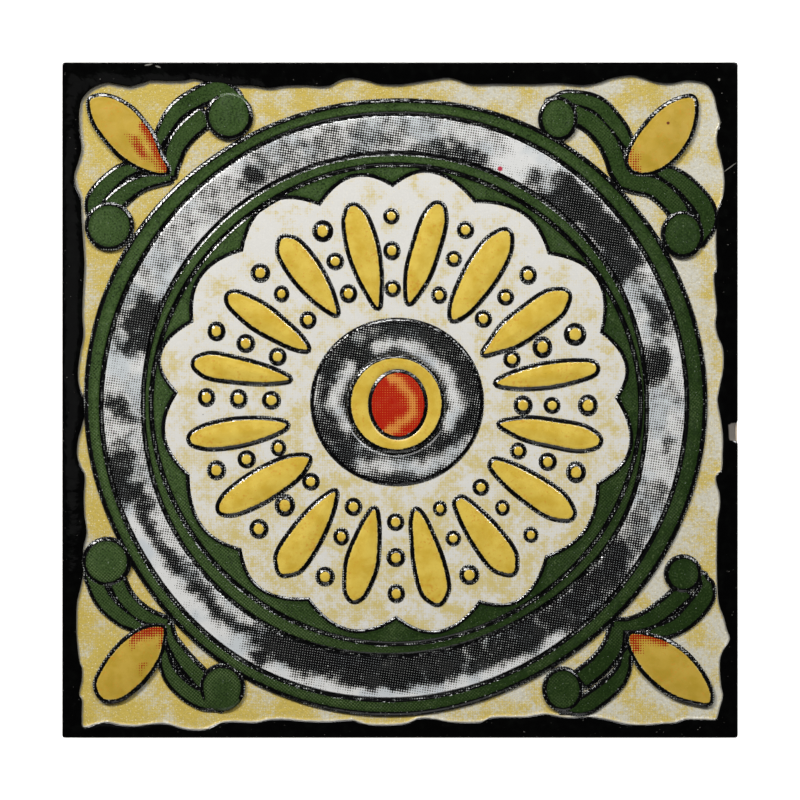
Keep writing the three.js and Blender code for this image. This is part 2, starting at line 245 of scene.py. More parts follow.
def paintTone(piece, name, strokes, softness, places):
    # Paints soft boxes: each stroke has two spans and its strength.
    tone = np.zeros(len(places))
    for lowA, highA, lowB, highB, strength in strokes:
        a, b = places[:, 0], places[:, 1]
        a = np.where(a < lowA - 40, a + 360, a) if highA > 360 else a
        soft = (smoothStep(a, lowA - softness[0], lowA + softness[0])
                * (1 - smoothStep(a, highA - softness[0], highA + softness[0]))
                * smoothStep(b, lowB - softness[1], lowB + softness[1])
                * (1 - smoothStep(b, highB - softness[1], highB + softness[1])))
        if strength < 0:
            tone = tone * (1 + soft * strength)
        else:
            tone = np.maximum(tone, soft * strength)
    writeNote(piece, name, tone)


def paintStrokes(piece, name, strokes, softness, places):
    # Paints brush strokes: each has its width, its strength and its path.
    tone = np.zeros(len(places))
    for width, strength, *path in strokes:
        near = np.full(len(places), 1e6)
        for start, end in zip(path, path[1:] or path):
            start, run = np.array(start), np.array(end) - np.array(start)
            share = np.clip(((places - start) @ run) / max(run @ run, 1e-9), 0, 1)
            near = np.minimum(near, np.linalg.norm(places - start - share[:, None] * run, axis=1))
        soft = 1 - smoothStep(near, width / 2 - softness, width / 2 + softness)
        tone = tone * (1 + soft * strength) if strength < 0 else np.maximum(tone, soft * strength)
    writeNote(piece, name, tone)


def planPlaces(piece, drift=0.0):
    # Where the points of the piece lie in plan, drifted about like wet ink.
    flat = np.empty(len(piece.data.vertices) * 3, dtype=np.float32)
    piece.data.vertices.foreach_get("co", flat)
    places = flat.reshape(-1, 3)[:, :2].copy()
    if drift:
        for place in places:
            wide = noise.noise_vector(Vector((place[0] / 3.2, place[1] / 3.2, 1.7)))
            fine = noise.noise_vector(Vector((place[0] / 1.1, place[1] / 1.1, 5.3)))
            place += drift * (np.array(wide.xy) + 0.5 * np.array(fine.xy))
    return places


def polarPlaces(piece, drift):
    places = planPlaces(piece, drift) - np.array(middle)
    angles = np.degrees(np.arctan2(places[:, 1], places[:, 0])) % 360
    return np.column_stack([angles, np.hypot(places[:, 0], places[:, 1])])


def finishPiece(piece, material, smoothAngle=14, flatMap=True):
    # Brings the piece to metres, smooths it and ties it to the tile.
    leaveEditMode()
    bpy.ops.object.select_all(action="DESELECT")
    piece.select_set(True)
    bpy.context.view_layer.objects.active = piece
    piece.scale = (mm, mm, mm)
    bpy.ops.object.transform_apply(location=True, rotation=True, scale=True)
    bpy.ops.object.shade_smooth_by_angle(angle=math.radians(smoothAngle))
    piece.data.materials.clear()
    piece.data.materials.append(material)
    for layer in list(piece.data.uv_layers):
        piece.data.uv_layers.remove(layer)
    if flatMap:
        addFlatMap(piece)
    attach(piece, "root")
    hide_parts("tile")
    print("made", piece.name, len(piece.data.polygons), "faces")


def addFlatMap(piece):
    # A plan view map, so that the prints bake evenly.
    places = planPlaces(piece)
    low, high = places.min(axis=0), places.max(axis=0)
    size = max(high - low)
    layer = piece.data.uv_layers.new(name="OFBake")
    corners = np.empty(len(piece.data.loops), dtype=np.int32)
    piece.data.loops.foreach_get("vertex_index", corners)
    flat = 0.01 + 0.98 * (places[corners] - low) / size
    layer.data.foreach_set("uv", flat.astype(np.float32).ravel())


# Building materials

def addNode(tree, kind, inputs=None, **settings):
    node = tree.nodes.new(kind)
    for key, value in settings.items():
        setattr(node, key, value)
    for key, value in (inputs or {}).items():
        if isinstance(value, bpy.types.NodeSocket):
            tree.links.new(value, node.inputs[key])
        else:
            node.inputs[key].default_value = value
    return node


def paint(red, green, blue):
    # Screen values from 0 to 255 as light.
    def toLight(value):
        value /= 255
        return value / 12.92 if value <= 0.04045 else ((value + 0.055) / 1.055) ** 2.4
    return (toLight(red), toLight(green), toLight(blue), 1)


def calc(tree, operation, first, second=0.0):
    return addNode(tree, "ShaderNodeMath", {0: first, 1: second}, operation=operation).outputs[0]


def addUp(tree, *parts):
    # The sum of the given values, each with its weight.
    total = 0.0
    for value, weight in parts:
        total = addNode(tree, "ShaderNodeMath", {0: value, 1: weight, 2: total},
                        operation="MULTIPLY_ADD").outputs[0]
    return total


def weigh(tree, value, low, high, start=0.0, end=1.0):
    return addNode(tree, "ShaderNodeMapRange",
                   {"Value": value, "From Min": low, "From Max": high, "To Min": start, "To Max": end},
                   interpolation_type="SMOOTHSTEP").outputs["Result"]


def mixPaint(tree, share, first, second):
    node = addNode(tree, "ShaderNodeMix", data_type="RGBA")
    for name, value in (("Factor_Float", share), ("A_Color", first), ("B_Color", second)):
        socket = next(s for s in node.inputs if s.identifier == name)
        if isinstance(value, bpy.types.NodeSocket):
            tree.links.new(value, socket)
        else:
            socket.default_value = value
    return next(s for s in node.outputs if s.identifier == "Result_Color")


def readNote(tree, name):
    return addNode(tree, "ShaderNodeAttribute", attribute_name=name).outputs["Fac"]


def inMillimetres(tree, shift=(0, 0, 0), turn=0.0, stretch=(1, 1, 1)):
    place = addNode(tree, "ShaderNodeTexCoord").outputs["Object"]
    return addNode(tree, "ShaderNodeMapping", {
        "Vector": place, "Location": shift, "Rotation": (0, 0, math.radians(turn)),
        "Scale": tuple(1000 * s for s in stretch)}).outputs["Vector"]


def cloud(tree, place, size, detail=2.0, roughness=0.5):
    return addNode(tree, "ShaderNodeTexNoise", {
        "Vector": place, "Scale": 1 / size, "Detail": detail, "Roughness": roughness}).outputs["Fac"]


def splitPlace(tree, place):
    return addNode(tree, "ShaderNodeSeparateXYZ", {0: place}).outputs[:2]


def dotScreen(tree, place, pitch):
    # The printer's screen: 1 in the middle of a dot, 0 between four dots.
    waves = [calc(tree, "COSINE", calc(tree, "MULTIPLY", axis, 2 * math.pi / pitch))
             for axis in splitPlace(tree, place)]
    both = calc(tree, "ADD", waves[0], waves[1])
    return calc(tree, "ADD", calc(tree, "MULTIPLY", both, 0.25), 0.5)


def startMaterial(name):
    material = bpy.data.materials.new(name)
    material.use_nodes = True
    tree = material.node_tree
    tree.nodes.clear()
    return material, tree


def closeMaterial(tree, color, roughness, height, depth, specular=0.5):
    # depth is how high the relief of the surface stands, in millimetres.
    bump = addNode(tree, "ShaderNodeBump", {"Height": height, "Distance": depth * mm, "Strength": 1.0})
    shader = addNode(tree, "ShaderNodeBsdfPrincipled", {
        "Base Color": color, "Roughness": roughness, "Normal": bump.outputs["Normal"],
        "Specular IOR Level": specular})
    out = addNode(tree, "ShaderNodeOutputMaterial")
    tree.links.new(shader.outputs["BSDF"], out.inputs["Surface"])


printing = {
    "pitch": 0.365,  # mm between the dots of the screen
    "turn": 9,  # degrees that the screen of the grey print is turned
    "lineBlack": paint(8, 8, 9),
    "glintSpeck": paint(196, 200, 196),  # painted glints: pale specks in the black lines
    "lineLumps": 0.6,  # lumps along the outlines, which break up their glints
    "lineComb": 0.1,
    "lineRagged": 0.1,  # how far the dots bite into a line's edge
    "lineWorn": 0.3,
    "tooth": paint(222, 226, 222),  # pale dots in the outer part of each black line
}


def speckAt(tree, x, y, radius, width=None, turn=0):
    # 1 inside a speck at the given place on the tile; a hair has its own width.
    lean = math.radians(-turn)
    shift = (y * math.sin(lean) - x * math.cos(lean), -x * math.sin(lean) - y * math.cos(lean), 0)
    place = inMillimetres(tree, shift=shift, turn=-turn)
    place = addNode(tree, "ShaderNodeVectorMath", {0: place, 1: (1 / radius, 1 / (width or radius), 0)},
                    operation="MULTIPLY").outputs["Vector"]
    away = addNode(tree, "ShaderNodeVectorMath", {0: place}, operation="LENGTH").outputs["Value"]
    return weigh(tree, away, 0.6, 1.0, 1.0, 0.0)


def inkedLine(tree, place):
    # 1 on the black outline at the foot of a raised shape.
    ink = readNote(tree, "ink")
    screen = dotScreen(tree, place, printing["pitch"])
    ragged = calc(tree, "SUBTRACT", screen, 0.5)
    worn = calc(tree, "SUBTRACT", cloud(tree, place, 0.6), 0.5)
    edge = addUp(tree, (ink, 1.0), (ragged, printing["lineRagged"]), (worn, printing["lineWorn"]))
    return weigh(tree, edge, 1.05, 1.25, 1.0, 0.0), screen, ink


def reliefGlaze(name, color, look):
    # A coloured pad with its black outline: the finish of every raised shape.
    material, tree = startMaterial(name)
    place = inMillimetres(tree)
    line, screen, ink = inkedLine(tree, place)
    body = color(tree, place, ink)
    shown = mixPaint(tree, line, body, printing["lineBlack"])
    teeth = weigh(tree, ink, 0.35, 0.5, 1.0, 0.0)
    teeth = calc(tree, "MULTIPLY", teeth, weigh(tree, screen, 0.6, 0.8))
    toothShare = weigh(tree, cloud(tree, place, 2.2), 0.45, 0.6, 0.0, look["teeth"])
    teeth = calc(tree, "MULTIPLY", teeth, toothShare)
    shown = mixPaint(tree, teeth, shown, printing["tooth"])
    # Painted glints: pale specks in the black lines.
    glintSpecks = weigh(tree, cloud(tree, place, 0.32, 1.0), 0.68, 0.76, 0.0, 0.8)
    shown = mixPaint(tree, calc(tree, "MULTIPLY", glintSpecks, line), shown, printing["glintSpeck"])
    fine = cloud(tree, place, look["grainSize"], 3.0, 0.6)
    broad = cloud(tree, place, look["rippleSize"], 2.0)
    height = addUp(tree, (fine, look["grain"]), (broad, look["ripple"]))
    lumps = addUp(tree, (cloud(tree, place, 0.9, 1.0), printing["lineLumps"]),
                  (screen, printing["lineComb"]))
    shoulder = weigh(tree, ink, 1.3, 2.2, 1.0, 0.0)
    height = calc(tree, "ADD", height, calc(tree, "MULTIPLY", lumps, shoulder))
    gloss = weigh(tree, cloud(tree, place, 1.7), 0.3, 0.7, *look["gloss"])
    gloss = addNode(tree, "ShaderNodeMix", {0: shoulder, 2: gloss, 3: look["lineGloss"]}).outputs[0]
    gloss = calc(tree, "MAXIMUM", gloss, weigh(tree, ink, 0.1, 0.3, 0.6, 0.0))
    closeMaterial(tree, shown, gloss, height, 0.1, look["specular"])
    return material


# Finishes

greenLook = {
    "dark": paint(28, 44, 18),
    "mid": paint(62, 86, 42),
    "lowerRightShade": paint(36, 56, 22),  # painted shade: the middle green darkened towards the lower right, away from the lamp
    "light": paint(104, 122, 78),
    "speck": paint(170, 182, 165),
    "grainSize": 0.4, "grain": 0.26, "rippleSize": 2.2, "ripple": 0.4,
    "gloss": (0.18, 0.3), "specular": 0.5, "lineGloss": 0.07, "teeth": 0.85,
}


def greenColor(tree, place, ink):
    grain = cloud(tree, place, 0.3, 3.0, 0.65)
    patches = cloud(tree, place, 3.5, 2.0)
    x, y = splitPlace(tree, place)
    # Painted shade: the middle green darkens from the upper left to the lower right.
    across = addUp(tree, (x, 1.0), (y, -1.0), (patches, 40.0))
    lowerLeft = calc(tree, "ADD", x, y)
    mid = mixPaint(tree, weigh(tree, across, -40.0, 80.0), greenLook["mid"], greenLook["lowerRightShade"])
    depthShare = addUp(tree, (grain, 0.8), (patches, 0.2))
    base = mixPaint(tree, weigh(tree, depthShare, 0.36, 0.54), greenLook["dark"], mid)
    base = mixPaint(tree, weigh(tree, depthShare, 0.54, 0.72, 0.0, 0.6), base, greenLook["light"])
    # Light green screen dots: partly print at random, partly painted highlight along the lines,
    # strongest at the lower left.
    screen = dotScreen(tree, inMillimetres(tree, turn=40), printing["pitch"])
    hatchAndHighlight = calc(tree, "MULTIPLY", weigh(tree, screen, 0.45, 0.85),
                 calc(tree, "ADD", weigh(tree, cloud(tree, place, 5.0), 0.4, 0.65, 0.0, 0.3),
                      weigh(tree, lowerLeft, -52.0, -36.0, 0.45, 0.0)))
    hatchAndHighlight = calc(tree, "MULTIPLY", hatchAndHighlight, weigh(tree, ink, 2.0, 4.5, 1.0, 0.3))
    base = mixPaint(tree, hatchAndHighlight, base, greenLook["light"])
    base = mixPaint(tree, weigh(tree, ink, 1.2, 2.2, 0.45, 0.0), base, greenLook["dark"])
    specks = weigh(tree, cloud(tree, place, 0.21, 1.0), 0.72, 0.8, 0.0, 0.8)
    return mixPaint(tree, specks, base, greenLook["speck"])


yellowLook = {
    "deep": paint(214, 178, 62),
    "bright": paint(230, 200, 88),
    "orange": paint(212, 146, 50),
    # painted highlight along the inside of the outline
    "rimShading": paint(244, 226, 150),
    "grainSize": 0.3, "grain": 0.06, "rippleSize": 1.6, "ripple": 0.3,
    "gloss": (0.2, 0.32), "specular": 0.5, "lineGloss": 0.12, "teeth": 0.8,
}


def yellowColor(tree, place, ink, look=yellowLook):
    patches = cloud(tree, place, 2.6, 3.0, 0.55)
    base = mixPaint(tree, weigh(tree, patches, 0.3, 0.66), look["deep"], look["bright"])
    dots = addUp(tree, (cloud(tree, place, 0.4, 2.0), 1.0), (cloud(tree, place, 3.8), 0.5))
    base = mixPaint(tree, weigh(tree, dots, 0.84, 1.0, 0.0, 0.6), base, look["orange"])
    # Painted highlight: a pale rim just inside the black line.
    rimShading = weigh(tree, ink, 1.0, 1.5, 0.65, 0.0)
    rimShading = calc(tree, "MULTIPLY", rimShading, weigh(tree, cloud(tree, place, 0.9), 0.4, 0.6))
    return mixPaint(tree, rimShading, base, look["rimShading"])


budLook = {
    **yellowLook,
    "deep": paint(188, 156, 52),
    "bright": paint(203, 170, 70),
    "red": paint(160, 36, 10),
    "speck": paint(110, 52, 24),
    "speckPlace": (39.6, 40.9, 0.28),
    "lineGloss": 0.08,
}


def budColor(tree, place, ink):
    base = yellowColor(tree, place, ink, budLook)
    uneven = calc(tree, "SUBTRACT", cloud(tree, place, 0.9, 3.0), 0.5)
    tone = addUp(tree, (readNote(tree, "redTone"), 1.0), (uneven, 0.5))
    screen = dotScreen(tree, place, printing["pitch"])
    spots = weigh(tree, calc(tree, "SUBTRACT", tone, screen), -0.1, 0.1)
    seen = calc(tree, "MULTIPLY", spots, weigh(tree, readNote(tree, "redTone"), 0.02, 0.2))
    color = mixPaint(tree, seen, base, budLook["red"])
    return mixPaint(tree, speckAt(tree, *budLook["speckPlace"]), color, budLook["speck"])


eyeLook = {
    "red": paint(182, 30, 12),
    "orange": paint(222, 148, 68),
    "grainSize": 0.3, "grain": 0.05, "rippleSize": 1.6, "ripple": 0.3,
    "gloss": (0.2, 0.3), "specular": 0.5, "lineGloss": 0.2, "teeth": 0.4,
}


def eyeColor(tree, place, ink):
    uneven = calc(tree, "SUBTRACT", cloud(tree, place, 1.1, 3.0), 0.5)
    tone = addUp(tree, (readNote(tree, "redTone"), 1.0), (uneven, 0.5))
    screen = dotScreen(tree, place, printing["pitch"])
    spots = weigh(tree, calc(tree, "SUBTRACT", tone, screen), -0.2, 0.2)
    return mixPaint(tree, spots, eyeLook["orange"], eyeLook["red"])


greyLook = {
    "pale": paint(226, 226, 224),
    "blue": paint(190, 200, 206),
    "black": paint(12, 13, 13),
    "brown": paint(60, 54, 40),
    "pink": paint(196, 60, 84),
    "pinkPlace": (14.8, 34.2, 0.45),  # a stray spot of colour on the band
    "fullest": 0.96,  # even the darkest print keeps its light dots
    "grainSize": 0.3, "grain": 0.05, "rippleSize": 1.8, "ripple": 0.4,
    "gloss": (0.18, 0.3), "specular": 0.5, "lineGloss": 0.09, "teeth": 0.6,
}


def greyColor(tree, place, ink):
    wash = weigh(tree, cloud(tree, place, 4.5, 2.0), 0.45, 0.65, 0.0, 0.6)
    base = mixPaint(tree, wash, greyLook["pale"], greyLook["blue"])
    smear = calc(tree, "SUBTRACT", cloud(tree, place, 1.8, 4.0, 0.6), 0.5)
    fleck = calc(tree, "SUBTRACT", cloud(tree, place, 0.5, 2.0), 0.5)
    tone = addUp(tree, (readNote(tree, "tone"), 1.0), (smear, 1.1), (fleck, 0.4))
    tone = calc(tree, "MINIMUM", tone, greyLook["fullest"])
    turned = inMillimetres(tree, turn=printing["turn"])
    screen = dotScreen(tree, turned, printing["pitch"])
    dark = weigh(tree, calc(tree, "SUBTRACT", tone, screen), -0.12, 0.12)
    dotPaint = mixPaint(tree, weigh(tree, tone, 0.3, 0.8), greyLook["brown"], greyLook["black"])
    base = mixPaint(tree, speckAt(tree, *greyLook["pinkPlace"]), base, greyLook["pink"])
    return mixPaint(tree, dark, base, dotPaint)


def printedGold(tree, place, amount, look):
    # A pale wash with yellow dots, which close up where there is most of them.
    screen = dotScreen(tree, place, printing["pitch"])
    color = mixPaint(tree, weigh(tree, amount, 0.0, 0.8, 0.0, 0.7), look["white"], look["pale"])
    dots = calc(tree, "SUBTRACT", amount, calc(tree, "MULTIPLY", screen, look["screen"]))
    return mixPaint(tree, weigh(tree, dots, -0.2, 0.6, 0.0, 0.85), color, look["gold"])


whiteLook = {
    "white": paint(228, 226, 220),
    "pale": paint(222, 208, 162),
    "gold": paint(212, 192, 112),
    "screen": 0.4,
    "speck": paint(96, 92, 84),
}


def whiteGlaze():
    material, tree = startMaterial("whiteGlaze")
    place = inMillimetres(tree)
    lower = weigh(tree, splitPlace(tree, place)[1], 30.0, -30.0, -0.12, 0.2)
    patches = cloud(tree, place, 3.6, 2.0)
    grain = cloud(tree, place, 0.7, 4.0, 0.75)
    amount = addUp(tree, (patches, 1.6), (grain, 2.0))
    amount = calc(tree, "ADD", calc(tree, "SUBTRACT", amount, 1.64), lower)
    color = printedGold(tree, place, amount, whiteLook)
    specks = weigh(tree, cloud(tree, place, 0.8, 1.0), 0.8, 0.86, 0.0, 0.6)
    color = mixPaint(tree, specks, color, whiteLook["speck"])
    height = addUp(tree, (cloud(tree, place, 0.4, 2.0), 0.2), (cloud(tree, place, 2.5, 2.0), 0.5))
    closeMaterial(tree, color, weigh(tree, grain, 0.3, 0.7, 0.2, 0.34), height, 0.1)
    return material


fieldLook = {
    "white": paint(214, 211, 197),
    "pale": paint(217, 200, 126),
    "gold": paint(207, 180, 72),
    "screen": 0.4,
    "sand": paint(186, 168, 104),
    "glint": paint(252, 246, 214),
    # unprinted rim of the cove, greyed as painted shade
    "rimShadeGrey": paint(150, 148, 140),
}


def fieldGlaze():
    material, tree = startMaterial("fieldGlaze")
    place = inMillimetres(tree)
    lean = weigh(tree, splitPlace(tree, place)[0], 50.0, -50.0, -0.14, 0.26)
    patches = cloud(tree, place, 4.0, 2.0)
    grain = cloud(tree, place, 0.5, 4.0, 0.75)
    amount = addUp(tree, (patches, 2.2), (grain, 2.0))
    amount = calc(tree, "ADD", calc(tree, "SUBTRACT", amount, 1.72), lean)
    color = printedGold(tree, place, amount, fieldLook)
    sand = weigh(tree, cloud(tree, place, 0.42, 2.0), 0.35, 0.5, 0.35, 0.0)
    color = mixPaint(tree, sand, color, fieldLook["sand"])
    glints = weigh(tree, cloud(tree, place, 0.26, 1.0), 0.6, 0.76, 0.0, 0.7)
    color = mixPaint(tree, glints, color, fieldLook["glint"])
    # Unprinted rim along the border's cove, greyed as painted shade.
    edge = calc(tree, "ADD", readNote(tree, "ink"), cloud(tree, place, 0.8))
    rimShading = weigh(tree, edge, 0.9, 1.7, 0.9, 0.0)
    color = mixPaint(tree, rimShading, color, fieldLook["rimShadeGrey"])
    height = addUp(tree, (cloud(tree, place, 0.42, 2.0, 0.6), 0.9), (cloud(tree, place, 2.0, 2.0), 0.4))
    closeMaterial(tree, color, weigh(tree, grain, 0.3, 0.7, 0.14, 0.3), height, 0.1)
    return material


borderLook = {
    "black": paint(2, 2, 2),
    "smoke": paint(7, 8, 7),
    "dustAndGlints": paint(120, 118, 112),
    "bare": paint(118, 112, 104),
    # a speck, two painted glints on ripples of the top arris, and a hair
    "specks": [(47.2, 47.4, 0.22), (-37.2, 49.6, 0.7, 0.16, 10), (-35.8, 49.3, 0.5, 0.14, -20),
               (48.8, 34.4, 1.4, 0.09, 36)],
}


def borderGlaze():
    material, tree = startMaterial("borderGlaze")
    place = inMillimetres(tree)
    smoke = weigh(tree, cloud(tree, place, 1.3, 3.0, 0.6), 0.45, 0.75)
    color = mixPaint(tree, smoke, borderLook["black"], borderLook["smoke"])
    # Dust specks, and the listed specks, among them painted glints.
    dustAndGlints = weigh(tree, cloud(tree, place, 0.35, 1.0), 0.77, 0.83, 0.0, 0.8)
    for speck in borderLook["specks"]:
        dustAndGlints = calc(tree, "MAXIMUM", dustAndGlints, speckAt(tree, *speck))
    color = mixPaint(tree, dustAndGlints, color, borderLook["dustAndGlints"])
    # The chip, and the bottom arris, are greyed and roughened.
    chipAndArris = weigh(tree, readNote(tree, "edgeMark"), 0.4, 0.6)
    color = mixPaint(tree, chipAndArris, color, borderLook["bare"])
    height = addUp(tree, (cloud(tree, place, 0.5, 2.0), 0.12), (cloud(tree, place, 3.0, 2.0), 0.8))
    closeMaterial(tree, color, weigh(tree, chipAndArris, 0.0, 1.0, 0.09, 0.7), height, 0.1)
    return material


clayLook = {
    "clay": paint(206, 190, 168),
    "sand": paint(186, 164, 138),
    "pore": paint(132, 110, 88),
}


def bareClay():
    material, tree = startMaterial("bareClay")
    place = inMillimetres(tree)
    broad = cloud(tree, place, 9.0, 4.0)
    grain = cloud(tree, place, 0.6, 4.0, 0.7)
    color = mixPaint(tree, weigh(tree, broad, 0.35, 0.65), clayLook["clay"], clayLook["sand"])
    pores = weigh(tree, cloud(tree, place, 0.7, 2.0), 0.68, 0.75, 0.0, 0.8)
    color = mixPaint(tree, pores, color, clayLook["pore"])
    height = calc(tree, "SUBTRACT", calc(tree, "MULTIPLY", grain, 0.8), pores)
    closeMaterial(tree, color, weigh(tree, grain, 0.3, 0.7, 0.75, 0.92), height, 0.12)
    return material


greenGlaze = reliefGlaze("greenGlaze", greenColor, greenLook)
yellowGlaze = reliefGlaze("yellowGlaze", yellowColor, yellowLook)
budGlaze = reliefGlaze("budGlaze", budColor, budLook)
eyeGlaze = reliefGlaze("eyeGlaze", eyeColor, eyeLook)
greyPrint = reliefGlaze("greyPrint", greyColor, greyLook)
print("mixed the glazes")


# Tile body with its keyed back

body = {
    "half": 49.94,  # the glaze coat of the border laps over it
    "top": 6.96,
    "cornerRadius": 0.7,
    "ease": 0.35,
    "ribPitch": 10,
    "grooves": 8,
    "grooveWidth": 5,
    "grooveEndMargin": 5,
    "grooveSteps": [(0.18, 0.12), (0.12, 0.68)],  # inwards and up: a slope, then the wall
}


def chooseEdges(piece, test):
    bpy.ops.mesh.select_mode(type="EDGE")
    bpy.ops.mesh.select_all(action="DESELECT")
    drawn = bmesh.from_edit_mesh(piece.data)
    for edge in drawn.edges:
        if test(edge, *(vertex.co for vertex in edge.verts)):
            edge.select = True
    bmesh.update_edit_mesh(piece.data)


def chooseFaces(piece, test):
    bpy.ops.mesh.select_mode(type="FACE")
    bpy.ops.mesh.select_all(action="DESELECT")
    drawn = bmesh.from_edit_mesh(piece.data)
    for face in drawn.faces:
        if test(face.calc_center_median(), face.normal):
            face.select = True
    bmesh.update_edit_mesh(piece.data)


def makeBody():
    bpy.ops.object.select_all(action="DESELECT")
    bpy.ops.mesh.primitive_cube_add(size=1)
    piece = bpy.context.object
    piece.name = "tileBody"
    half, top = body["half"], body["top"]
    for vertex in piece.data.vertices:
        x, y, z = vertex.co
        vertex.co = (math.copysign(half, x), math.copysign(half, y), top if z > 0 else 0)
    bpy.ops.object.mode_set(mode="EDIT")
    chooseEdges(piece, lambda edge, a, b: abs(a.z - b.z) > 1)
    bpy.ops.mesh.bevel(offset=body["cornerRadius"], segments=4)
    chooseEdges(piece, lambda edge, a, b: a.z < 0.001 and b.z < 0.001)
    bpy.ops.mesh.bevel(offset=body["ease"], segments=2)
    first = -(body["grooves"] - 1) / 2 * body["ribPitch"]
    rows = [first + i * body["ribPitch"] for i in range(body["grooves"])]
    reach = half - body["grooveEndMargin"]
    width = body["grooveWidth"]
    cuts = [((0, y + side * width / 2, 0), (0, 1, 0)) for y in rows for side in (-1, 1)]
    cuts += [((side * reach, 0, 0), (1, 0, 0)) for side in (-1, 1)]
    for point, normal in cuts:
        bpy.ops.mesh.select_all(action="SELECT")
        bpy.ops.mesh.bisect(plane_co=point, plane_no=normal)
    chooseFaces(piece, lambda center, normal: normal.z < -0.9 and abs(center.x) < reach
                and any(abs(center.y - y) < width / 2 for y in rows))
    stepIn(body["grooveSteps"])
    return piece


tileBody = makeBody()
finishPiece(tileBody, bareClay(), smoothAngle=35, flatMap=False)


# Border and sunk field. The line between them is drawn anticlockwise
# from the bottom left corner.

border = {
    "bottom": [
        (-46.9, -48.4), (-45, -48), (-43.4, -47.7), (-41.4, -48.1), (-38.9, -48.2), (-36.4, -47.9),
        (-34.6, -47.9), (-32.5, -48.5), (-30.4, -48.8), (-28.6, -48.7), (-27.1, -48), (-25.4, -47.6),
        (-21.4, -47.7), (-19.3, -47.3), (-17.1, -47.25), (-14.3, -47.5), (-10.7, -47.6),
        (-7.1, -47.4), (-5.4, -47.9), (-3.6, -48.1), (0, -48), (1.4, -47.7), (2.9, -47.1),
        (5, -47.2), (7.1, -47.6), (10.4, -47.75), (12.1, -47.6), (13.6, -47), (18.6, -46.9),
        (21.4, -46.5), (24.6, -47), (27.9, -46.9), (30.7, -47.3), (33.2, -47.9), (35.7, -48.1),
        (38.6, -47.9), (40.7, -47.75), (42.1, -47.3), (45, -47.3), (46.7, -47.3),
    ],
    "right": [
        (46.95, -47), (47.3, -45.7), (47.8, -43.75), (47.5, -42.1), (47.35, -38.6), (47.8, -37.1),
        (48.8, -35.4), (48.35, -33.9), (47.9, -32.1), (47.35, -30.7), (47.1, -29.5), (46.9, -25.4),
        (46.9, -21.4), (47, -17.9), (47.35, -15.7), (47.3, -13.9), (46.8, -12.1), (46.85, -11.1),
        (47.6, -10.4), (47.75, -7.9), (47.8, -5.4), (47.5, -2.9), (47, 0), (47.3, 1.8), (47.8, 4.3),
        (47.9, 6.4), (47.7, 8), (47, 9.6), (46.7, 11.4), (46.9, 13), (46.8, 14.6), (46.6, 16.4),
        (46.5, 18.6), (46.9, 19.6), (46.8, 22), (46.8, 24.6), (47.05, 28.1), (47.4, 29),
        (47.8, 30.2), (48, 31.9), (47.9, 33.8), (47.4, 36.2), (46.9, 38.1), (47, 39.8), (47.4, 41.1),
        (46.9, 43.1), (46.4, 45.2),
    ],
    "top": [
        (45.4, 46.65), (43.9, 47.1), (42.1, 47.2), (40, 46.8), (37.9, 46.95), (36.1, 47.55),
        (34.3, 47.95), (31.4, 47.6), (29.3, 46.9), (27.1, 46.5), (23.2, 46.8), (20, 46.65),
        (14.3, 46.7), (10.4, 46.7), (8.6, 47.3), (7.1, 47.6), (5, 47.35), (2.1, 46.9), (0, 46.6),
        (-2.9, 46.7), (-5, 47.3), (-7.1, 47.6), (-8.9, 47.3), (-10.7, 46.4), (-14.3, 46.5),
        (-17.1, 46.4), (-19.3, 46.1), (-21.4, 46.4), (-23.6, 46.5), (-28.9, 47.05), (-29.5, 47.3),
        (-30.7, 47.45), (-31.8, 47.2), (-34.1, 47.15), (-36.8, 47.2), (-38.2, 46.8), (-39.8, 46.4),
        (-41.4, 46.6), (-43.2, 46.9), (-44.5, 46.6), (-45.9, 45.9),
    ],
    "left": [
        (-47.05, 44.5), (-47.4, 43.2), (-47.5, 42), (-47.4, 40), (-47.15, 37.1), (-47.7, 35),
        (-48.2, 33.2), (-47.9, 31.4), (-47.3, 30), (-47.1, 26.4), (-46.85, 22.9), (-46.7, 20),
        (-46.9, 16), (-47, 12.5), (-46.85, 9.6), (-47.3, 7.1), (-47.65, 4.3), (-47.5, 2.1),
        (-46.8, 0), (-46.8, -2.5), (-47.1, -3.9), (-47.6, -5.7), (-47.8, -7.9), (-47.5, -9.3),
        (-46.7, -11.1), (-46.8, -14.3), (-46.7, -17.1), (-46.4, -19.6), (-46.9, -22.1),
        (-46.9, -25.7), (-47.5, -28.6), (-47.8, -30), (-47.9, -32.9), (-47.8, -35.7), (-47.4, -38.9),
        (-47.1, -39.6), (-47.1, -41.4), (-47.5, -43.6), (-47.1, -44.3), (-47.1, -47.1),
    ],
    "points": 1300,
    "lip": 0.2,  # how wide its rounded inner edge is
    "glazeFoot": 5.9,  # where the black coat ends on the sides
    "chip": {  # in the right edge
        "low": -6.4, "high": -3.1, "soft": 0.6, "beyond": 49.4, "above": 6.6,
        "depth": 0.42, "drop": 0.2,
    },
    "greyBottomArris": {"beyond": 49.7, "above": 6.9, "below": 7.47, "edgeMark": 0.62},  # greyed and roughened along the bottom arris
}


def tileEdge(line):
    # The point on the outer edge of the tile that each point of the line faces.
    half, corner = tileSize["half"], tileSize["cornerRadius"]
    straight = half - corner
    result = []
    for x, y in line:
        stretch = half / max(abs(x), abs(y))
        x, y = x * stretch, y * stretch
        overX, overY = abs(x) - straight, abs(y) - straight
        if overX > 0 and overY > 0:
            length = math.hypot(overX, overY)
            x = math.copysign(straight + overX * corner / length, x)
            y = math.copysign(straight + overY * corner / length, y)
        result.append((x, y))
    return result


def onTileEdge(*points):
    return all(max(abs(point.x), abs(point.y)) > tileSize["half"] - 0.3 for point in points)


def layOnLine(piece, before, after):
    # Moves the selected points from one line to the next.
    tree = lineTree(before)
    drawn = bmesh.from_edit_mesh(piece.data)
    for vertex in drawn.verts:
        if vertex.select:
            i = tree.find((vertex.co.x, vertex.co.y, 0))[1]
            vertex.co.x, vertex.co.y = after[i]
    bmesh.update_edit_mesh(piece.data)


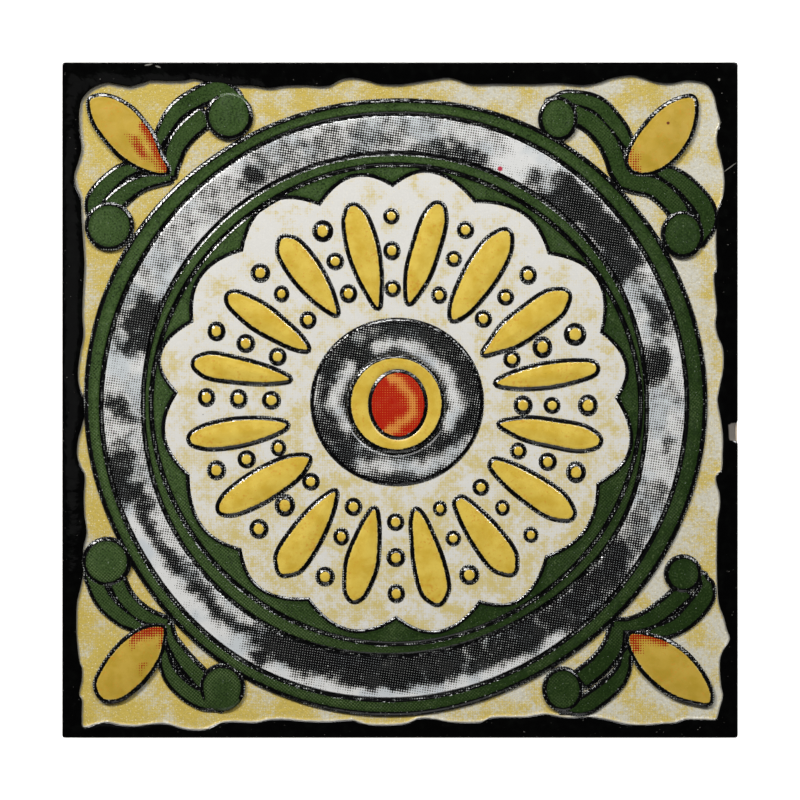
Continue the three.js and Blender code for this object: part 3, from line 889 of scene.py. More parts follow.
def makeBorder(line):
    lipLine = grown(line, border["lip"])
    piece = addHoop("border", tileEdge(line), lipLine, tileSize["frameTop"])
    chooseEdges(piece, lambda edge, a, b: edge.is_boundary and not onTileEdge(a, b))
    for target, drop in ((grown(line, border["lip"] * 0.3), 0.03), (line, 0.07), (line, 0.3)):
        bpy.ops.mesh.extrude_region()
        bpy.ops.transform.translate(value=(0, 0, -drop))
        layOnLine(piece, lipLine, target)
        lipLine = target
    chooseEdges(piece, lambda edge, a, b: edge.is_boundary and onTileEdge(a, b))
    bpy.ops.mesh.extrude_region()
    bpy.ops.transform.translate(value=(0, 0, border["glazeFoot"] - tileSize["frameTop"]))
    chooseEdges(piece, lambda edge, a, b: not edge.is_boundary and onTileEdge(a, b)
                and min(a.z, b.z) > tileSize["frameTop"] - 0.01)
    bpy.ops.mesh.bevel(offset=tileSize["arris"], segments=3)
    bpy.ops.object.mode_set(mode="OBJECT")
    return piece


def markBorderEdges(piece):
    chip, arris = border["chip"], border["greyBottomArris"]
    edgeMarks = []
    for vertex in piece.data.vertices:
        x, y, z = vertex.co
        edgeMark = 0
        if x > chip["beyond"] and z > chip["above"]:
            edgeMark = smoothStep(y, chip["low"], chip["low"] + chip["soft"])
            edgeMark -= smoothStep(y, chip["high"] - chip["soft"], chip["high"])
            vertex.co.x -= chip["depth"] * edgeMark
            vertex.co.z -= chip["drop"] * edgeMark
        if y < -arris["beyond"] and arris["above"] < z < arris["below"]:
            edgeMark = max(edgeMark, arris["edgeMark"])
        edgeMarks.append(edgeMark)
    writeNote(piece, "edgeMark", edgeMarks)


fieldPoints = border["bottom"] + border["right"] + border["top"] + border["left"]
fieldLine = smoothLine(fieldPoints, border["points"])
borderPiece = makeBorder(fieldLine)
markBorderEdges(borderPiece)
finishPiece(borderPiece, borderGlaze(), smoothAngle=50, flatMap=False)

field = {
    "innerRadius": 44.6,  # hidden under the outer ring
    "cove": [(0.62, 0), (0.44, 0.02), (0.28, 0.06), (0.13, 0.13), (0, 0.22)],  # from the border, height
    "shadedRimWidth": (0.2, 0.4),  # mm of unprinted rim greyed as painted shade, and how much more there is at the upper left
    "shadedRimWidens": (48, 44),  # from where on, and over how many mm
}


def makeField(line):
    underRing = [polar(field["innerRadius"], math.degrees(math.atan2(y - middle[1], x - middle[0])))
                 for x, y in line]
    before, level = grown(line, -field["cove"][0][0]), field["cove"][0][1]
    piece = addHoop("field", before, underRing, tileSize["field"] + level)
    chooseEdges(piece, lambda edge, a, b: edge.is_boundary
                and math.dist(a[:2], middle) > field["innerRadius"] + 1)
    for inward, height in field["cove"][1:]:
        bpy.ops.mesh.extrude_region()
        bpy.ops.transform.translate(value=(0, 0, height - level))
        after, level = grown(line, -inward), height
        layOnLine(piece, before, after)
        before = after
    bpy.ops.object.mode_set(mode="OBJECT")
    return piece


fieldPiece = makeField(fieldLine)
measureInk(fieldPiece, [(fieldLine, 1)])
# The painted shade on the cove's rim is wider towards the upper left.
shadedRimLeast, shadedRimMore = field["shadedRimWidth"]
widensFrom, widensOver = field["shadedRimWidens"]
for vertex, note in zip(fieldPiece.data.vertices, fieldPiece.data.attributes["ink"].data):
    toUpperLeft = (vertex.co.y - vertex.co.x - widensFrom) / widensOver
    note.value /= shadedRimLeast + shadedRimMore * min(max(toUpperLeft, 0), 1)
finishPiece(fieldPiece, fieldGlaze(), smoothAngle=50)


# Round bands of the medallion: radius of each black line every 30 degrees,
# anticlockwise from the right.

bands = {
    "points": 720,
    "outerEdge": [46.35, 46.4, 46.3, 45.5, 45.7, 46.25, 46.05, 45.65, 46.25, 46.1, 45.45, 45.85],
    "ringToBand": [43.25, 43.3, 43.6, 43.15, 43.3, 43.2, 43.4, 43.3, 43.9, 43.55, 42.95, 42.9],
    "bandToInnerRing": [37.3, 37.65, 37.45, 37.35, 37.4, 37.45, 37.2, 37.5, 37.6, 37.0, 36.85, 37.8],
    "innerRingToGround": [36.4, 35.85, 35.45, 35.6, 35.4, 35.65, 36.0, 35.5, 35.25, 35.3, 35.25, 35.95],
    "foot": 7.12,
    "outerLine": 0.68,  # mm of black on the outside
    "seamLine": 0.32,  # mm of black on each side of a seam
    "crown": {"outer": 0.06, "inner": 0.05, "ground": 0.03},
}
shoulder = {
    "ring": [(0.11, 0.2), (0.18, 0.14), (0.26, 0.087), (0.2, 0.005)],
    "band": [(0.1, 0.17), (0.12, 0.1), (0.26, 0.095), (0.2, 0.01)],
    "innerRing": [(0.09, 0.2), (0.12, 0.09), (0.22, 0.068), (0.12, 0.001)],
    "ground": [(0.09, 0.2), (0.22, 0.09)],
}
edgeLine = swungCircle(bands["outerEdge"], bands["points"])
bandLine = swungCircle(bands["ringToBand"], bands["points"])
innerLine = swungCircle(bands["bandToInnerRing"], bands["points"])
groundLine = swungCircle(bands["innerRingToGround"], bands["points"])


def makeBand(name, outer, inner, outerInk, innerInk, steps, cuts, crown):
    piece = addHoop(name, outer, inner, bands["foot"])
    stepIn(steps)
    cutAcross(piece, cuts)
    swell(piece, (outer, inner), crown)
    measureInk(piece, [(outer, outerInk), (inner, innerInk)])
    return piece


seam = bands["seamLine"]
outerRing = makeBand("outerRing", edgeLine, bandLine, bands["outerLine"], seam,
                     shoulder["ring"], 3, bands["crown"]["outer"])
finishPiece(outerRing, greenGlaze)
innerRing = makeBand("innerRing", innerLine, groundLine, seam, seam,
                     shoulder["innerRing"], 2, bands["crown"]["inner"])
finishPiece(innerRing, greenGlaze)

# Dark patches of the grey print: from and to angle, from and to radius,
# strength; a negative strength rubs the print out again.
greyBand = {
    "patches": [
        (-4, 6, 37, 43.5, 0.48), (4, 14, 35.5, 41.8, 1.0), (14, 24, 39.2, 43.2, 0.9),
        (12, 30, 38.2, 41, 0.5), (22, 31, 39, 43, 0.6), (28, 56, 37.2, 43, 1.1),
        (28, 56, 35.5, 38.2, 0.7), (55, 58.5, 35.5, 40.5, 1.0), (66, 79, 35.5, 44, 0.36),
        (69, 86, 35.5, 40.4, 0.86), (77, 87, 40, 45, 0.42), (86, 124, 35.5, 43, 0.56),
        (95.5, 98.5, 35.5, 38.4, 0.95), (104.5, 107.5, 35.5, 38.4, 0.95),
        (112, 119, 35.5, 38.4, 0.9), (119, 126.5, 38.6, 41.4, 1.0), (124, 136, 35.5, 43, 0.5),
        (134, 156, 38.6, 43.5, 0.44), (154, 170, 36, 41.8, 1.02), (154, 169, 41, 45, 0.58),
        (177.5, 184.5, 39.2, 42.6, 1.0), (174, 190, 35.5, 45, 0.36), (187, 200, 39.2, 44.5, 1.0),
        (187, 200, 35.5, 40, 0.5), (197, 241, 38.5, 41.4, 0.92), (198, 249, 35.5, 38.6, 0.3),
        (238, 286, 36, 42.4, 1.05), (284, 306, 36.2, 41.8, 1.0), (303, 331, 37, 42.3, 1.02),
        (306, 327, 41, 43.8, 0.92), (328, 346, 38.2, 43, 0.66), (325, 346, 35.5, 38.8, 0.35),
        (343, 360, 35.5, 44, 0.34), (350.5, 355.5, 39.4, 41.4, 0.85),
    ],
    "softness": (3.4, 1.3),
    "drift": 1.6,
    "crown": 0.04,
}
greyPiece = makeBand("greyBand", bandLine, innerLine, seam, seam,
                     shoulder["band"], 11, greyBand["crown"])
paintTone(greyPiece, "tone", greyBand["patches"], greyBand["softness"],
          polarPlaces(greyPiece, greyBand["drift"]))
finishPiece(greyPiece, greyPrint)


# Rosette: the angle and radius of each cusp, then of the crest after it

rosette = {
    "scallops": [
        (2, 32.5, 9.5, 34.5), (19.5, 32.1, 32, 35.1), (44.5, 31.7, 56, 33.9), (68.5, 32.1, 81.5, 34.7),
        (90.5, 32.2, 99.5, 34.2), (110.5, 31.4, 122, 35), (134.5, 31.9, 146.5, 34.2),
        (157.5, 32.1, 168, 35.2), (176.5, 32, 187, 34.1), (198.5, 31.9, 211, 33.4),
        (223, 30.9, 233.5, 33.3), (246, 31, 259, 33.6), (270.5, 31, 281, 33.8),
        (293.5, 31.3, 302.5, 33.9), (315, 31.4, 327.5, 33.4), (339, 31.9, 350, 35.1),
    ],
    "line": 0.56,
    "leastGround": 0.66,  # mm of ground kept outside a crest
    "underGround": 0.12,  # mm that the pad runs on under the ground
    "level": 7.27,
    "edge": [(0.15, 0.015), (0.2, 0.015)],
}


def scallopLine(count, limit):
    line = []
    scallops = rosette["scallops"]
    for step in range(count):
        angle = 360 * step / count
        i = max((k for k, scallop in enumerate(scallops) if scallop[0] <= angle), default=-1)
        cusp, cuspRadius, crest, crestRadius = scallops[i]
        after, afterRadius = scallops[(i + 1) % len(scallops)][:2]
        turn = (angle - cusp) % 360
        rise = (crest - cusp) % 360
        fall = (after - crest) % 360
        if turn <= rise:
            radius = cuspRadius + (crestRadius - cuspRadius) * math.sin(math.pi / 2 * turn / rise)
        else:
            past = (turn - rise) / fall
            radius = afterRadius + (crestRadius - afterRadius) * math.cos(math.pi / 2 * past)
        outside = math.dist(limit[step], middle) - rosette["leastGround"]
        line.append(polar(min(radius, outside), angle))
    return line


rosetteLine = scallopLine(bands["points"], groundLine)
ground = makeBand("scallopGround", groundLine, rosetteLine, seam, rosette["line"],
                  shoulder["ground"], 4, bands["crown"]["ground"])
finishPiece(ground, greenGlaze)
rosettePiece = addPad("rosette", grown(rosetteLine, rosette["underGround"]), rosette["level"])
stepIn(rosette["edge"])
finishPiece(rosettePiece, whiteGlaze())


# Petals: radius and angle of the pointed inner end, then of the round outer
# end, then the width of the yellow at 28, 24, 20 and 17 mm from the middle.

petals = {
    "shapes": [
        (15.4, 12.3, 30.4, 10.6, 2.5, 3.2, 2.7, 1.5), (15.2, 30, 30.5, 33, 3.8, 4.1, 3.6, 1.6),
        (15.3, 56, 30.7, 57, 3.8, 4.5, 3.8, 2.4), (15.3, 82, 30.5, 77.5, 3.2, 3.6, 3.25, 1.7),
        (14.7, 99.7, 30.2, 102, 3.3, 4.1, 3.3, 1.8), (16, 122.5, 29.8, 124, 3.4, 4.1, 3.1, 1.2),
        (15.3, 147.3, 29.5, 146.5, 2.5, 3.6, 2.9, 1.8), (16, 166, 30.3, 168, 3.3, 3.2, 2.4, 1),
        (16.2, 190.3, 30.7, 189.5, 3.2, 3.7, 2.8, 1.2), (14.9, 211.5, 30.2, 211, 3.3, 4.3, 4, 2.8),
        (15.5, 235.5, 30, 236, 4, 4.3, 3.3, 1.6), (15.6, 259, 29.5, 258, 2.9, 4.2, 3.1, 1.5),
        (15.8, 281.5, 30, 282.5, 3.7, 4, 2.9, 1.6), (16.8, 304, 30.3, 305.3, 3.9, 4.1, 3, 1.3),
        (16.7, 329.7, 31, 328, 3.8, 3.9, 3, 1.3), (15.8, 350, 30.8, 350, 3.4, 3.5, 3, 1.3),
    ],
    "stations": (28, 24, 20, 17),
    "tip": {"widest": 2.6, "share": 0.3, "back": 0.42},  # the rounding of the outer end
    "line": 0.6,
    "points": 150,
    "foot": 7.26,
    "edge": [(0.12, 0.2), (0.2, 0.05), (0.22, 0.15), (0.12, 0.05)],
    "crown": [(0.93, 0.06), (0.85, 0.06), (0.72, 0.07), (0.5, 0.07), (0.4, 0.02)],
}


def petalLine(shape):
    innerRadius, innerAngle, outerRadius, outerAngle = shape[:4]
    inner = Vector(polar(innerRadius, innerAngle))
    outer = Vector(polar(outerRadius, outerAngle))
    axis = (outer - inner).normalized()
    across = Vector((-axis.y, axis.x))
    left, right = [], []
    for station, width in zip(petals["stations"], shape[4:]):
        share = (station - innerRadius) / (outerRadius - innerRadius)
        spot = inner + (outer - inner) * share
        left.append(spot + across * width / 2)
        right.append(spot - across * width / 2)
    tip = petals["tip"]
    tipWidth = min(shape[4], tip["widest"]) * tip["share"]
    endLeft, endRight = (outer - axis * tip["back"] + across * side * tipWidth for side in (1, -1))
    line = [inner, *reversed(right), endRight, outer, endLeft, *left]
    return grown(smoothLine(line, petals["points"]), petals["line"])


def makePetal(number, shape):
    line = petalLine(shape)
    piece = addPad("petal" + str(number), line, petals["foot"])
    stepIn(petals["edge"])
    center = polar((shape[0] + shape[2]) / 2 + 1, (shape[1] + shape[3]) / 2)
    shrinkIn(petals["crown"], center)
    measureInk(piece, [(line, petals["line"])])
    return piece


petalParts = [makePetal(number, shape) for number, shape in enumerate(petals["shapes"])]
petalPiece = joinPieces("petals", petalParts)
finishPiece(petalPiece, yellowGlaze)


# Beads: angle of each row, then radius and outer width of its three beads

beads = {
    "rows": [
        (0, 19, 3, 23.3, 2.6, 28.6, 3.2), (21.5, 18.65, 2.7, 23.5, 3.2, 28.7, 3.5),
        (44.3, 18.35, 2.7, 22.95, 2.6, 27.6, 2.8), (68, 17.6, 2.6, 23.4, 2.5, 28, 2.7),
        (91, 17.3, 2.6, 22.9, 2.8, 28, 2.5), (112.4, 17.9, 2.8, 23.05, 2.7, 27.9, 3.3),
        (135.4, 18, 2.7, 23.5, 2.5, 27.9, 3), (157.4, 18.75, 2.8, 23.85, 2.9, 28.55, 2.9),
        (177.6, 18.25, 2.9, 23.1, 2.9, 27.85, 2.8), (200, 18.3, 2.5, 23.3, 2.8, 28.05, 3),
        (222.3, 16.75, 2.7, 21.95, 3.3, 27.15, 3), (247.9, 16.2, 2.75, 20.95, 2.6, 27.35, 3),
        (270.5, 17.25, 2.7, 22.5, 2.9, 27.85, 2.8), (293.8, 16.65, 2.3, 21.5, 2.4, 27.4, 3.1),
        (316.5, 17.6, 2.6, 22, 2.35, 27.8, 2.4), (339.8, 19.5, 2.6, 24.15, 2.8, 28.6, 3.2),
    ],
    "modelSize": 2.8,
    "line": 0.62,
    "points": 36,
    "foot": 7.26,
    "edge": [(0.13, 0.2), (0.2, 0.05), (0.22, 0.15), (0.12, 0.05)],
    "crown": [(0.8, 0.06), (0.7, 0.05), (0.5, 0.03), (0.3, 0.005)],
}


def modelBead(size):
    line = ellipseLine((0, 0), size / 2, size / 2, beads["points"])
    piece = addPad("bead", line, beads["foot"])
    stepIn(beads["edge"])
    shrinkIn(beads["crown"], (0, 0))
    measureInk(piece, [(line, beads["line"])])
    return piece


def copyBead(model, size, place, stretch):
    # Widens the model bead to its size, stretches it a little and puts it in place.
    half = beads["modelSize"] / 2
    copy = model.copy()
    copy.data = model.data.copy()
    bpy.context.collection.objects.link(copy)
    for vertex in copy.data.vertices:
        radius = math.hypot(vertex.co.x, vertex.co.y)
        if radius > 0:
            outward = radius / half * (size / 2 - half)
            vertex.co.x *= (radius + outward) / radius * stretch
            vertex.co.y *= (radius + outward) / radius / stretch
        vertex.co.x += place[0]
        vertex.co.y += place[1]
    return copy


beadModel = modelBead(beads["modelSize"])
beadParts = []
for row in beads["rows"]:
    for k in range(3):
        radius, size = row[1 + 2 * k], row[2 + 2 * k]
        stretch = 0.98 + 0.03 * math.sin(row[0] + 2 * k)
        beadParts.append(copyBead(beadModel, size, polar(radius, row[0]), stretch))
bpy.data.objects.remove(beadModel)
beadPiece = joinPieces("beads", beadParts)
finishPiece(beadPiece, yellowGlaze)


# Hub: printed disc, collar and eye

hub = {
    "center": (-0.44, -0.28),
    "halfWidth": 12.9,
    "halfHeight": 12.5,
    "line": 0.55,
    "points": 360,
    "foot": 7.26,
    "edge": [(0.12, 0.2), (0.18, 0.13), (0.22, 0.085), (0.2, 0.02), (0.3, 0.02)],
    "strokes": [  # width, strength and path: dark all over, then rubbed out
        (30, 0.95, middle),
        (2, -0.75, (-3.6, 8), (-1.8, 8.15), (1.1, 8.15), (4.1, 6.6), (6.4, 4), (8, 1.2),
         (8.5, -1.1), (7.2, -3.4)),
        (1.8, -0.7, (-7.7, 4.8), (-8.9, 2.2), (-9.7, -0.8), (-8.4, -4.2)),
        (1.2, -0.5, (-12.3, 3), (-12.3, -0.6)), (1.2, -0.4, (-5.4, -6.9), (-2.6, -7.9)),
        (2.2, -0.6, (-5.4, -9.6), (-1.8, -9.8), (3.4, -9.8), (7.2, -8.5), (10.6, -6.2)),
        (1.2, -0.4, (-6.8, 9.4), (-4.4, 10.6)),
    ],
    "softness": 0.9,
    "drift": 0.7,
    "cuts": 12,
    "collar": {
        "center": (-0.55, -0.56), "halfWidth": 7.3, "halfHeight": 7.35, "line": 0.55, "foot": 7.72,
        "edge": [(0.24, 0.14), (0.22, 0.1), (0.25, 0.05), (0.3, 0.02)],
        "cuts": 3, "crown": 0.05,
    },
    "eye": {
        "center": (-0.3, -0.67), "halfWidth": 4.5, "halfHeight": 5.3, "line": 0.55, "foot": 7.9,
        "edge": [(0.24, 0.12), (0.22, 0.1)],
        "crown": [(0.93, 0.04), (0.84, 0.025), (0.7, 0.015), (0.5, 0.005)],
        "intoCollar": 0.4,  # mm that the collar runs on under the eye
        "softness": 0.4,
        "drift": 0.3,
        "strokes": [
            (12, 0.96, (-0.3, -0.7)),
            (1.5, -0.8, (-1.2, 3.3), (0.6, 2.2), (1.8, 0.2), (1.8, -1.9), (0.3, -3.6), (-1.8, -4.7)),
        ],
    },
}


def partEllipse(part, count=240):
    return ellipseLine(part["center"], part["halfWidth"], part["halfHeight"], count)


hubLine = partEllipse(hub, hub["points"])
collarLine = partEllipse(hub["collar"], hub["points"])
hubPiece = addHoop("hubRing", hubLine, collarLine, hub["foot"])
stepIn(hub["edge"])
cutAcross(hubPiece, hub["cuts"])
measureInk(hubPiece, [(hubLine, hub["line"])])
paintStrokes(hubPiece, "tone", hub["strokes"], hub["softness"], planPlaces(hubPiece, hub["drift"]))
finishPiece(hubPiece, greyPrint)

eyeLine = partEllipse(hub["eye"])
underEye = grown(eyeLine, -hub["eye"]["intoCollar"])
collarPiece = addHoop("hubCollar", partEllipse(hub["collar"]), underEye, hub["collar"]["foot"])
stepIn(hub["collar"]["edge"])
cutAcross(collarPiece, hub["collar"]["cuts"])
swell(collarPiece, (collarLine, underEye), hub["collar"]["crown"])
measureInk(collarPiece, [(collarLine, hub["collar"]["line"])])
finishPiece(collarPiece, yellowGlaze)

eyePiece = addPad("hubEye", eyeLine, hub["eye"]["foot"])
stepIn(hub["eye"]["edge"])
shrinkIn(hub["eye"]["crown"], hub["eye"]["center"])
measureInk(eyePiece, [(eyeLine, hub["eye"]["line"])])
paintStrokes(eyePiece, "redTone", hub["eye"]["strokes"], hub["eye"]["softness"],
             planPlaces(eyePiece, hub["eye"]["drift"]))
finishPiece(eyePiece, eyeGlaze)


# Corner drawings, in places on the tile. Each point of a strand is x, y and
# the width of the green there.

corners = {
    "line": 0.58,
    "foot": 7.0,
    "strandStep": 0.28,  # mm between the points of a strand's outline
    "strandEdge": [(0.12, 0.24), (0.18, 0.14), (0.26, 0.1), (0.2, 0.015), (0.2, 0.01)],
    "pairs": [(1, 3), (5, 7), (8, 10), (12, 14)],  # strands that grow from one another
    "hair": 0.004,  # mm that each strand lies higher than the one before
    "intoBall": 1.2,  # mm that a strand runs on under its ball
    "ballPoints": 90,
    "ballEdge": [(0.03, 0.48), (0.18, 0.14), (0.26, 0.1), (0.3, 0.03)],
    "ballCrown": [(0.8, 0.04), (0.6, 0.02), (0.4, 0.005)],
    "budPoints": 170,
    "budEdge": [(0.03, 0.48), (0.18, 0.14), (0.26, 0.1)],
    "budCrown": [(0.92, 0.07), (0.84, 0.07), (0.7, 0.08), (0.5, 0.06)],
    "buds": {
        "topLeft": [
            (-45.8, 44.4), (-45.8, 43), (-45.1, 40.9), (-43.2, 38.2), (-40.9, 35.9), (-38.2, 34.3),
            (-35.5, 33.5), (-34.3, 33.9), (-35.5, 36.4), (-36.6, 39.1), (-38, 41.1), (-39.7, 43),
            (-42.2, 44.5), (-44.3, 44.9),
        ],
        "topRight": [
            (43.4, 44.6), (43.6, 42.1), (42.8, 39), (41.1, 36.4), (38.95, 34.5), (36.6, 33.6),
            (34.7, 33.8), (33.7, 35), (33.95, 36.7), (34.9, 38.6), (36.3, 40.5), (38, 42.4),
            (39.9, 43.8), (41.8, 44.6),
        ],
        "bottomLeft": [
            (-44.9, -41.9), (-44.6, -43.3), (-43.6, -44.3), (-41.7, -44.2), (-39.8, -43.1),
            (-37.6, -41), (-35.7, -38.1), (-35, -35.5), (-35, -33.7), (-36.4, -33.5), (-38.3, -34),
            (-40.5, -35.5), (-42.4, -37.4), (-44, -39.8),
        ],
        "bottomRight": [
            (33.95, -34.8), (34.4, -34.5), (36.6, -34.8), (38.95, -35.5), (41.1, -36.7),
            (43.2, -38.6), (44.9, -41), (45.9, -43.3), (45.7, -44.8), (43.7, -44.6), (40.9, -43.8),
            (38.2, -42.1), (35.9, -39.8), (34.4, -37.4), (33.8, -35.5),
        ],
    },
    "redStrokes": [  # width, strength and path of each red stroke on the buds
        (1.3, 0.85, (-38, 40.6), (-36.4, 38), (-35.2, 35.4), (-34.4, 34)),
        (1.6, 0.68, (-38.9, 38.2), (-38, 36.4)), (2.2, 0.45, (-36, 36.4), (-35, 34.2)),
        (0.7, 0.7, (34, 37), (33.9, 34.9), (35.4, 33.9)), (0.7, 0.6, (35.2, 36.4), (35.2, 35.6)),
        (1.8, 0.8, (-38.8, -34.6), (-36, -33.8), (-35, -34)), (1.0, 0.7, (-39.4, -36), (-39, -34.8)),
        (0.7, 0.6, (-35.6, -36.4), (-35.2, -34.4)), (0.5, 0.6, (-38.4, -40.4), (-38, -39)),
        (1.4, 0.85, (34.2, -35), (36.4, -35), (38.8, -35.8)), (1.2, 0.75, (34.4, -35), (34.9, -37)),
    ],
    "redSoftness": 0.5,
    "redDrift": 0.35,
    "strands": [
        [(-36.4, 37.2, 1.1), (-35.5, 38.7, 1.3), (-34.7, 40.2, 1.7), (-33.6, 42, 2),
         (-32.3, 43.3, 2.2), (-30.6, 44.4, 2.3), (-28.8, 45.3, 2.4), (-26.9, 45.9, 2.4),
         (-25, 45.1, 2), (-24, 43.8, 1.5)],
        [(-34, 33.1, 1.2), (-34, 34, 1.5), (-33.7, 35.6, 2), (-33.2, 37.3, 2.3), (-32.2, 38.9, 2.4),
         (-31, 40.2, 2.5), (-29.7, 41.3, 2.5)],
        [(-38.2, 35.3, 1.2), (-39.6, 34.3, 1.5), (-41.2, 33.6, 1.8), (-42.7, 32.4, 2),
         (-44, 31.1, 2.1), (-45, 29.7, 2.1), (-45.3, 28.3, 1.8), (-45, 26.8, 1.3)],
        [(-34, 32.9, 0.9), (-36.2, 32.6, 1.4), (-37.8, 32.2, 1.6), (-39.4, 31.5, 1.9),
         (-40.9, 30.4, 2.1), (-42, 29.4, 2.2)],
        [(35.1, 37, 1.2), (33.7, 38.1, 1.4), (32.6, 39.9, 1.8), (31.3, 41.5, 2), (30, 43, 2),
         (28.4, 44, 1.9), (26.4, 44.5, 1.7), (24.5, 44.7, 1.4), (23, 44.2, 0.9)],
        [(33.8, 32, 2.2), (33.2, 32.9, 2.3), (32.3, 34.3, 2.2), (31.9, 35.8, 2.3), (31.3, 37.3, 2.4),
         (30.5, 38.7, 2.4), (29.3, 40.2, 2.5), (28, 41.3, 2.5), (26.7, 42, 2.4)],
        [(37.3, 34.9, 1.2), (38.6, 33.9, 1.5), (40.4, 33, 2.1), (42, 31.9, 2.3), (43.5, 30.4, 2.5),
         (44.8, 28.8, 2.5), (45.5, 27.2, 2.3), (45.3, 25.7, 2.1), (44.5, 24.4, 1.8)],
        [(32.8, 32.6, 2.1), (33.8, 32.4, 2.3), (35.2, 32, 2.3), (36.8, 31.8, 2.5), (38.3, 31.1, 2.6),
         (39.6, 30, 2.6), (40.7, 28.8, 2.6), (41.5, 27.5, 2.5)],
        [(-34.4, -32.9, 0.8), (-35.7, -32.6, 1.2), (-37.1, -32.2, 1.6), (-38.6, -31.4, 1.9),
         (-39.9, -30.2, 1.9), (-41, -28.8, 2), (-41.8, -27.1, 2)],
        [(-37.8, -34.5, 1.1), (-39.1, -33.3, 1.4), (-40.7, -32.4, 1.9), (-42.2, -31.3, 2),
         (-43.4, -30.1, 2.1), (-44.4, -28.5, 2.1), (-45.1, -26.7, 2.1)],
        [(-34.4, -33.2, 0.8), (-34, -35.2, 1.1), (-33.1, -36.8, 1.5), (-32.1, -38.3, 1.8),
         (-30.9, -39.7, 2), (-29.6, -41.1, 2.1)],
        [(-35.6, -36.3, 0.9), (-34.9, -37.8, 1.1), (-34.5, -39.4, 1.4), (-33.6, -41.1, 1.8),
         (-32.3, -42.5, 2), (-30.7, -43.7, 2.1), (-28.8, -44.5, 2.2), (-27.2, -44.9, 1.5)],
        [(31.6, -33.3, 1.3), (33.7, -33.4, 1.5), (35.3, -33.1, 1.8), (37, -32.4, 2.1),
         (38.4, -31.5, 2.2), (39.7, -30.5, 2.2), (41.4, -29, 2.2)],
        [(36.5, -35.6, 1), (37.7, -34.4, 1.3), (39.4, -34, 1.8), (41.2, -33.2, 2), (42.7, -32, 2.3),
         (44, -30.6, 2.4), (45.1, -29, 2.3), (45.4, -27.6, 1.6), (45, -26.7, 0.8)],
        [(32.2, -33.7, 1.8), (31.9, -35.4, 2.2), (31.4, -36.8, 2.4), (30.5, -38.1, 2.4),
         (29.3, -39.4, 2.4), (27.7, -40.7, 2.4)],
        [(34.6, -36.2, 0.8), (33.5, -37.7, 1), (33.2, -39.4, 1.3), (32.4, -41.1, 1.8),
         (31.2, -42.4, 2.1), (29.6, -43.7, 2.2), (27.9, -44.9, 2.2), (26.4, -45.4, 1.9),
         (24.9, -45.5, 1.1)],
    ],
    "balls": [  # x, y, width and height of the green, then the arc that flows into its strand
        (-25.3, 42, 6, 6, 30, 125), (-43, 25.7, 6.2, 6.2, 0, 0), (23.4, 41.6, 4.8, 5.6, 0, 0),
        (41.8, 24.5, 5.3, 6, 0, 0), (-43.4, -23.9, 6.2, 6.2, 0, 0), (-26.3, -42.5, 5.7, 5.9, 205, 335),
        (41.9, -25.7, 4.5, 4.6, 0, 0), (24.1, -42.8, 5, 5.6, 0, 0),
    ],
}


def strandLine(strand):
    # The outline of a tapering strand, with blunt ends.
    middles = [Vector(point) for point in strand]
    onward = (middles[-1] - middles[-2]).normalized() * corners["intoBall"]
    middles.append(middles[-1] + Vector((onward.x, onward.y, 0)))
    path = []
    for i, here in enumerate(middles[:-1]):
        before, after = middles[max(i - 1, 0)], middles[i + 1]
        beyond = middles[min(i + 2, len(middles) - 1)]
        leaving, arriving = (after - before) / 6, (beyond - here) / 6
        path += interpolate_bezier(here, here + leaving, after - arriving, after, 10)[:-1]
    path.append(middles[-1])
    left, right = [], []
    for i, point in enumerate(path):
        before, after = path[max(i - 1, 0)], path[min(i + 1, len(path) - 1)]
        along = Vector((after.x - before.x, after.y - before.y)).normalized()
        side = Vector((-along.y, along.x)) * point.z / 2
        left.append(Vector((point.x, point.y)) + side)
        right.append(Vector((point.x, point.y)) - side)
    length = sum(math.dist(a[:2], b[:2]) for a, b in zip(path, path[1:]))
    count = max(60, int(2.2 * length / corners["strandStep"]))  # both sides and the ends
    outline = evenLine([*right, *reversed(left)], count)
    return grown(outline, corners["line"])


def signedArea(line):
    return sum(x1 * y2 - x2 * y1 for (x1, y1), (x2, y2) in zip(line, line[1:] + line[:1])) / 2


def insideLine(x, y, line):
    crossings = 0
    for (x1, y1), (x2, y2) in zip(line, line[1:] + line[:1]):
        if (y1 > y) != (y2 > y) and x < x1 + (y - y1) / (y2 - y1) * (x2 - x1):
            crossings += 1
    return crossings % 2 == 1


def makeStrand(number, line, partners):
    # No black line is printed where a strand runs into its partner. Each strand
    # lies a hair higher than the one before, so that no two tops coincide.
    piece = addPad("strand" + str(number), line, corners["foot"] + corners["hair"] * number)
    stepIn(corners["strandEdge"])
    greens = [grown(partner, -corners["line"]) for partner in partners]
    inked = [point for point in line if not any(insideLine(*point, green) for green in greens)]
    measureInk(piece, [(inked, corners["line"])])
    return piece


def makeBall(number, ball):
    x, y, width, height, openFrom, openTo = ball
    line = ellipseLine((x, y), width / 2 + corners["line"], height / 2 + corners["line"],
                       corners["ballPoints"])
    piece = addPad("ball" + str(number), line, corners["foot"])
    stepIn(corners["ballEdge"])
    shrinkIn(corners["ballCrown"], (x, y))
    step = 360 / corners["ballPoints"]
    inked = [point for i, point in enumerate(line) if not openFrom < step * i < openTo]
    measureInk(piece, [(inked, corners["line"])])
    return piece


def makeBud(name, outline):
    loop = outline if signedArea(outline) > 0 else outline[::-1]
    line = grown(smoothLine(loop, corners["budPoints"]), corners["line"])
    piece = addPad(name, line, corners["foot"])
    stepIn(corners["budEdge"])
    center = (sum(x for x, y in outline) / len(outline), sum(y for x, y in outline) / len(outline))
    shrinkIn(corners["budCrown"], center)
    measureInk(piece, [(line, corners["line"])])
    return piece


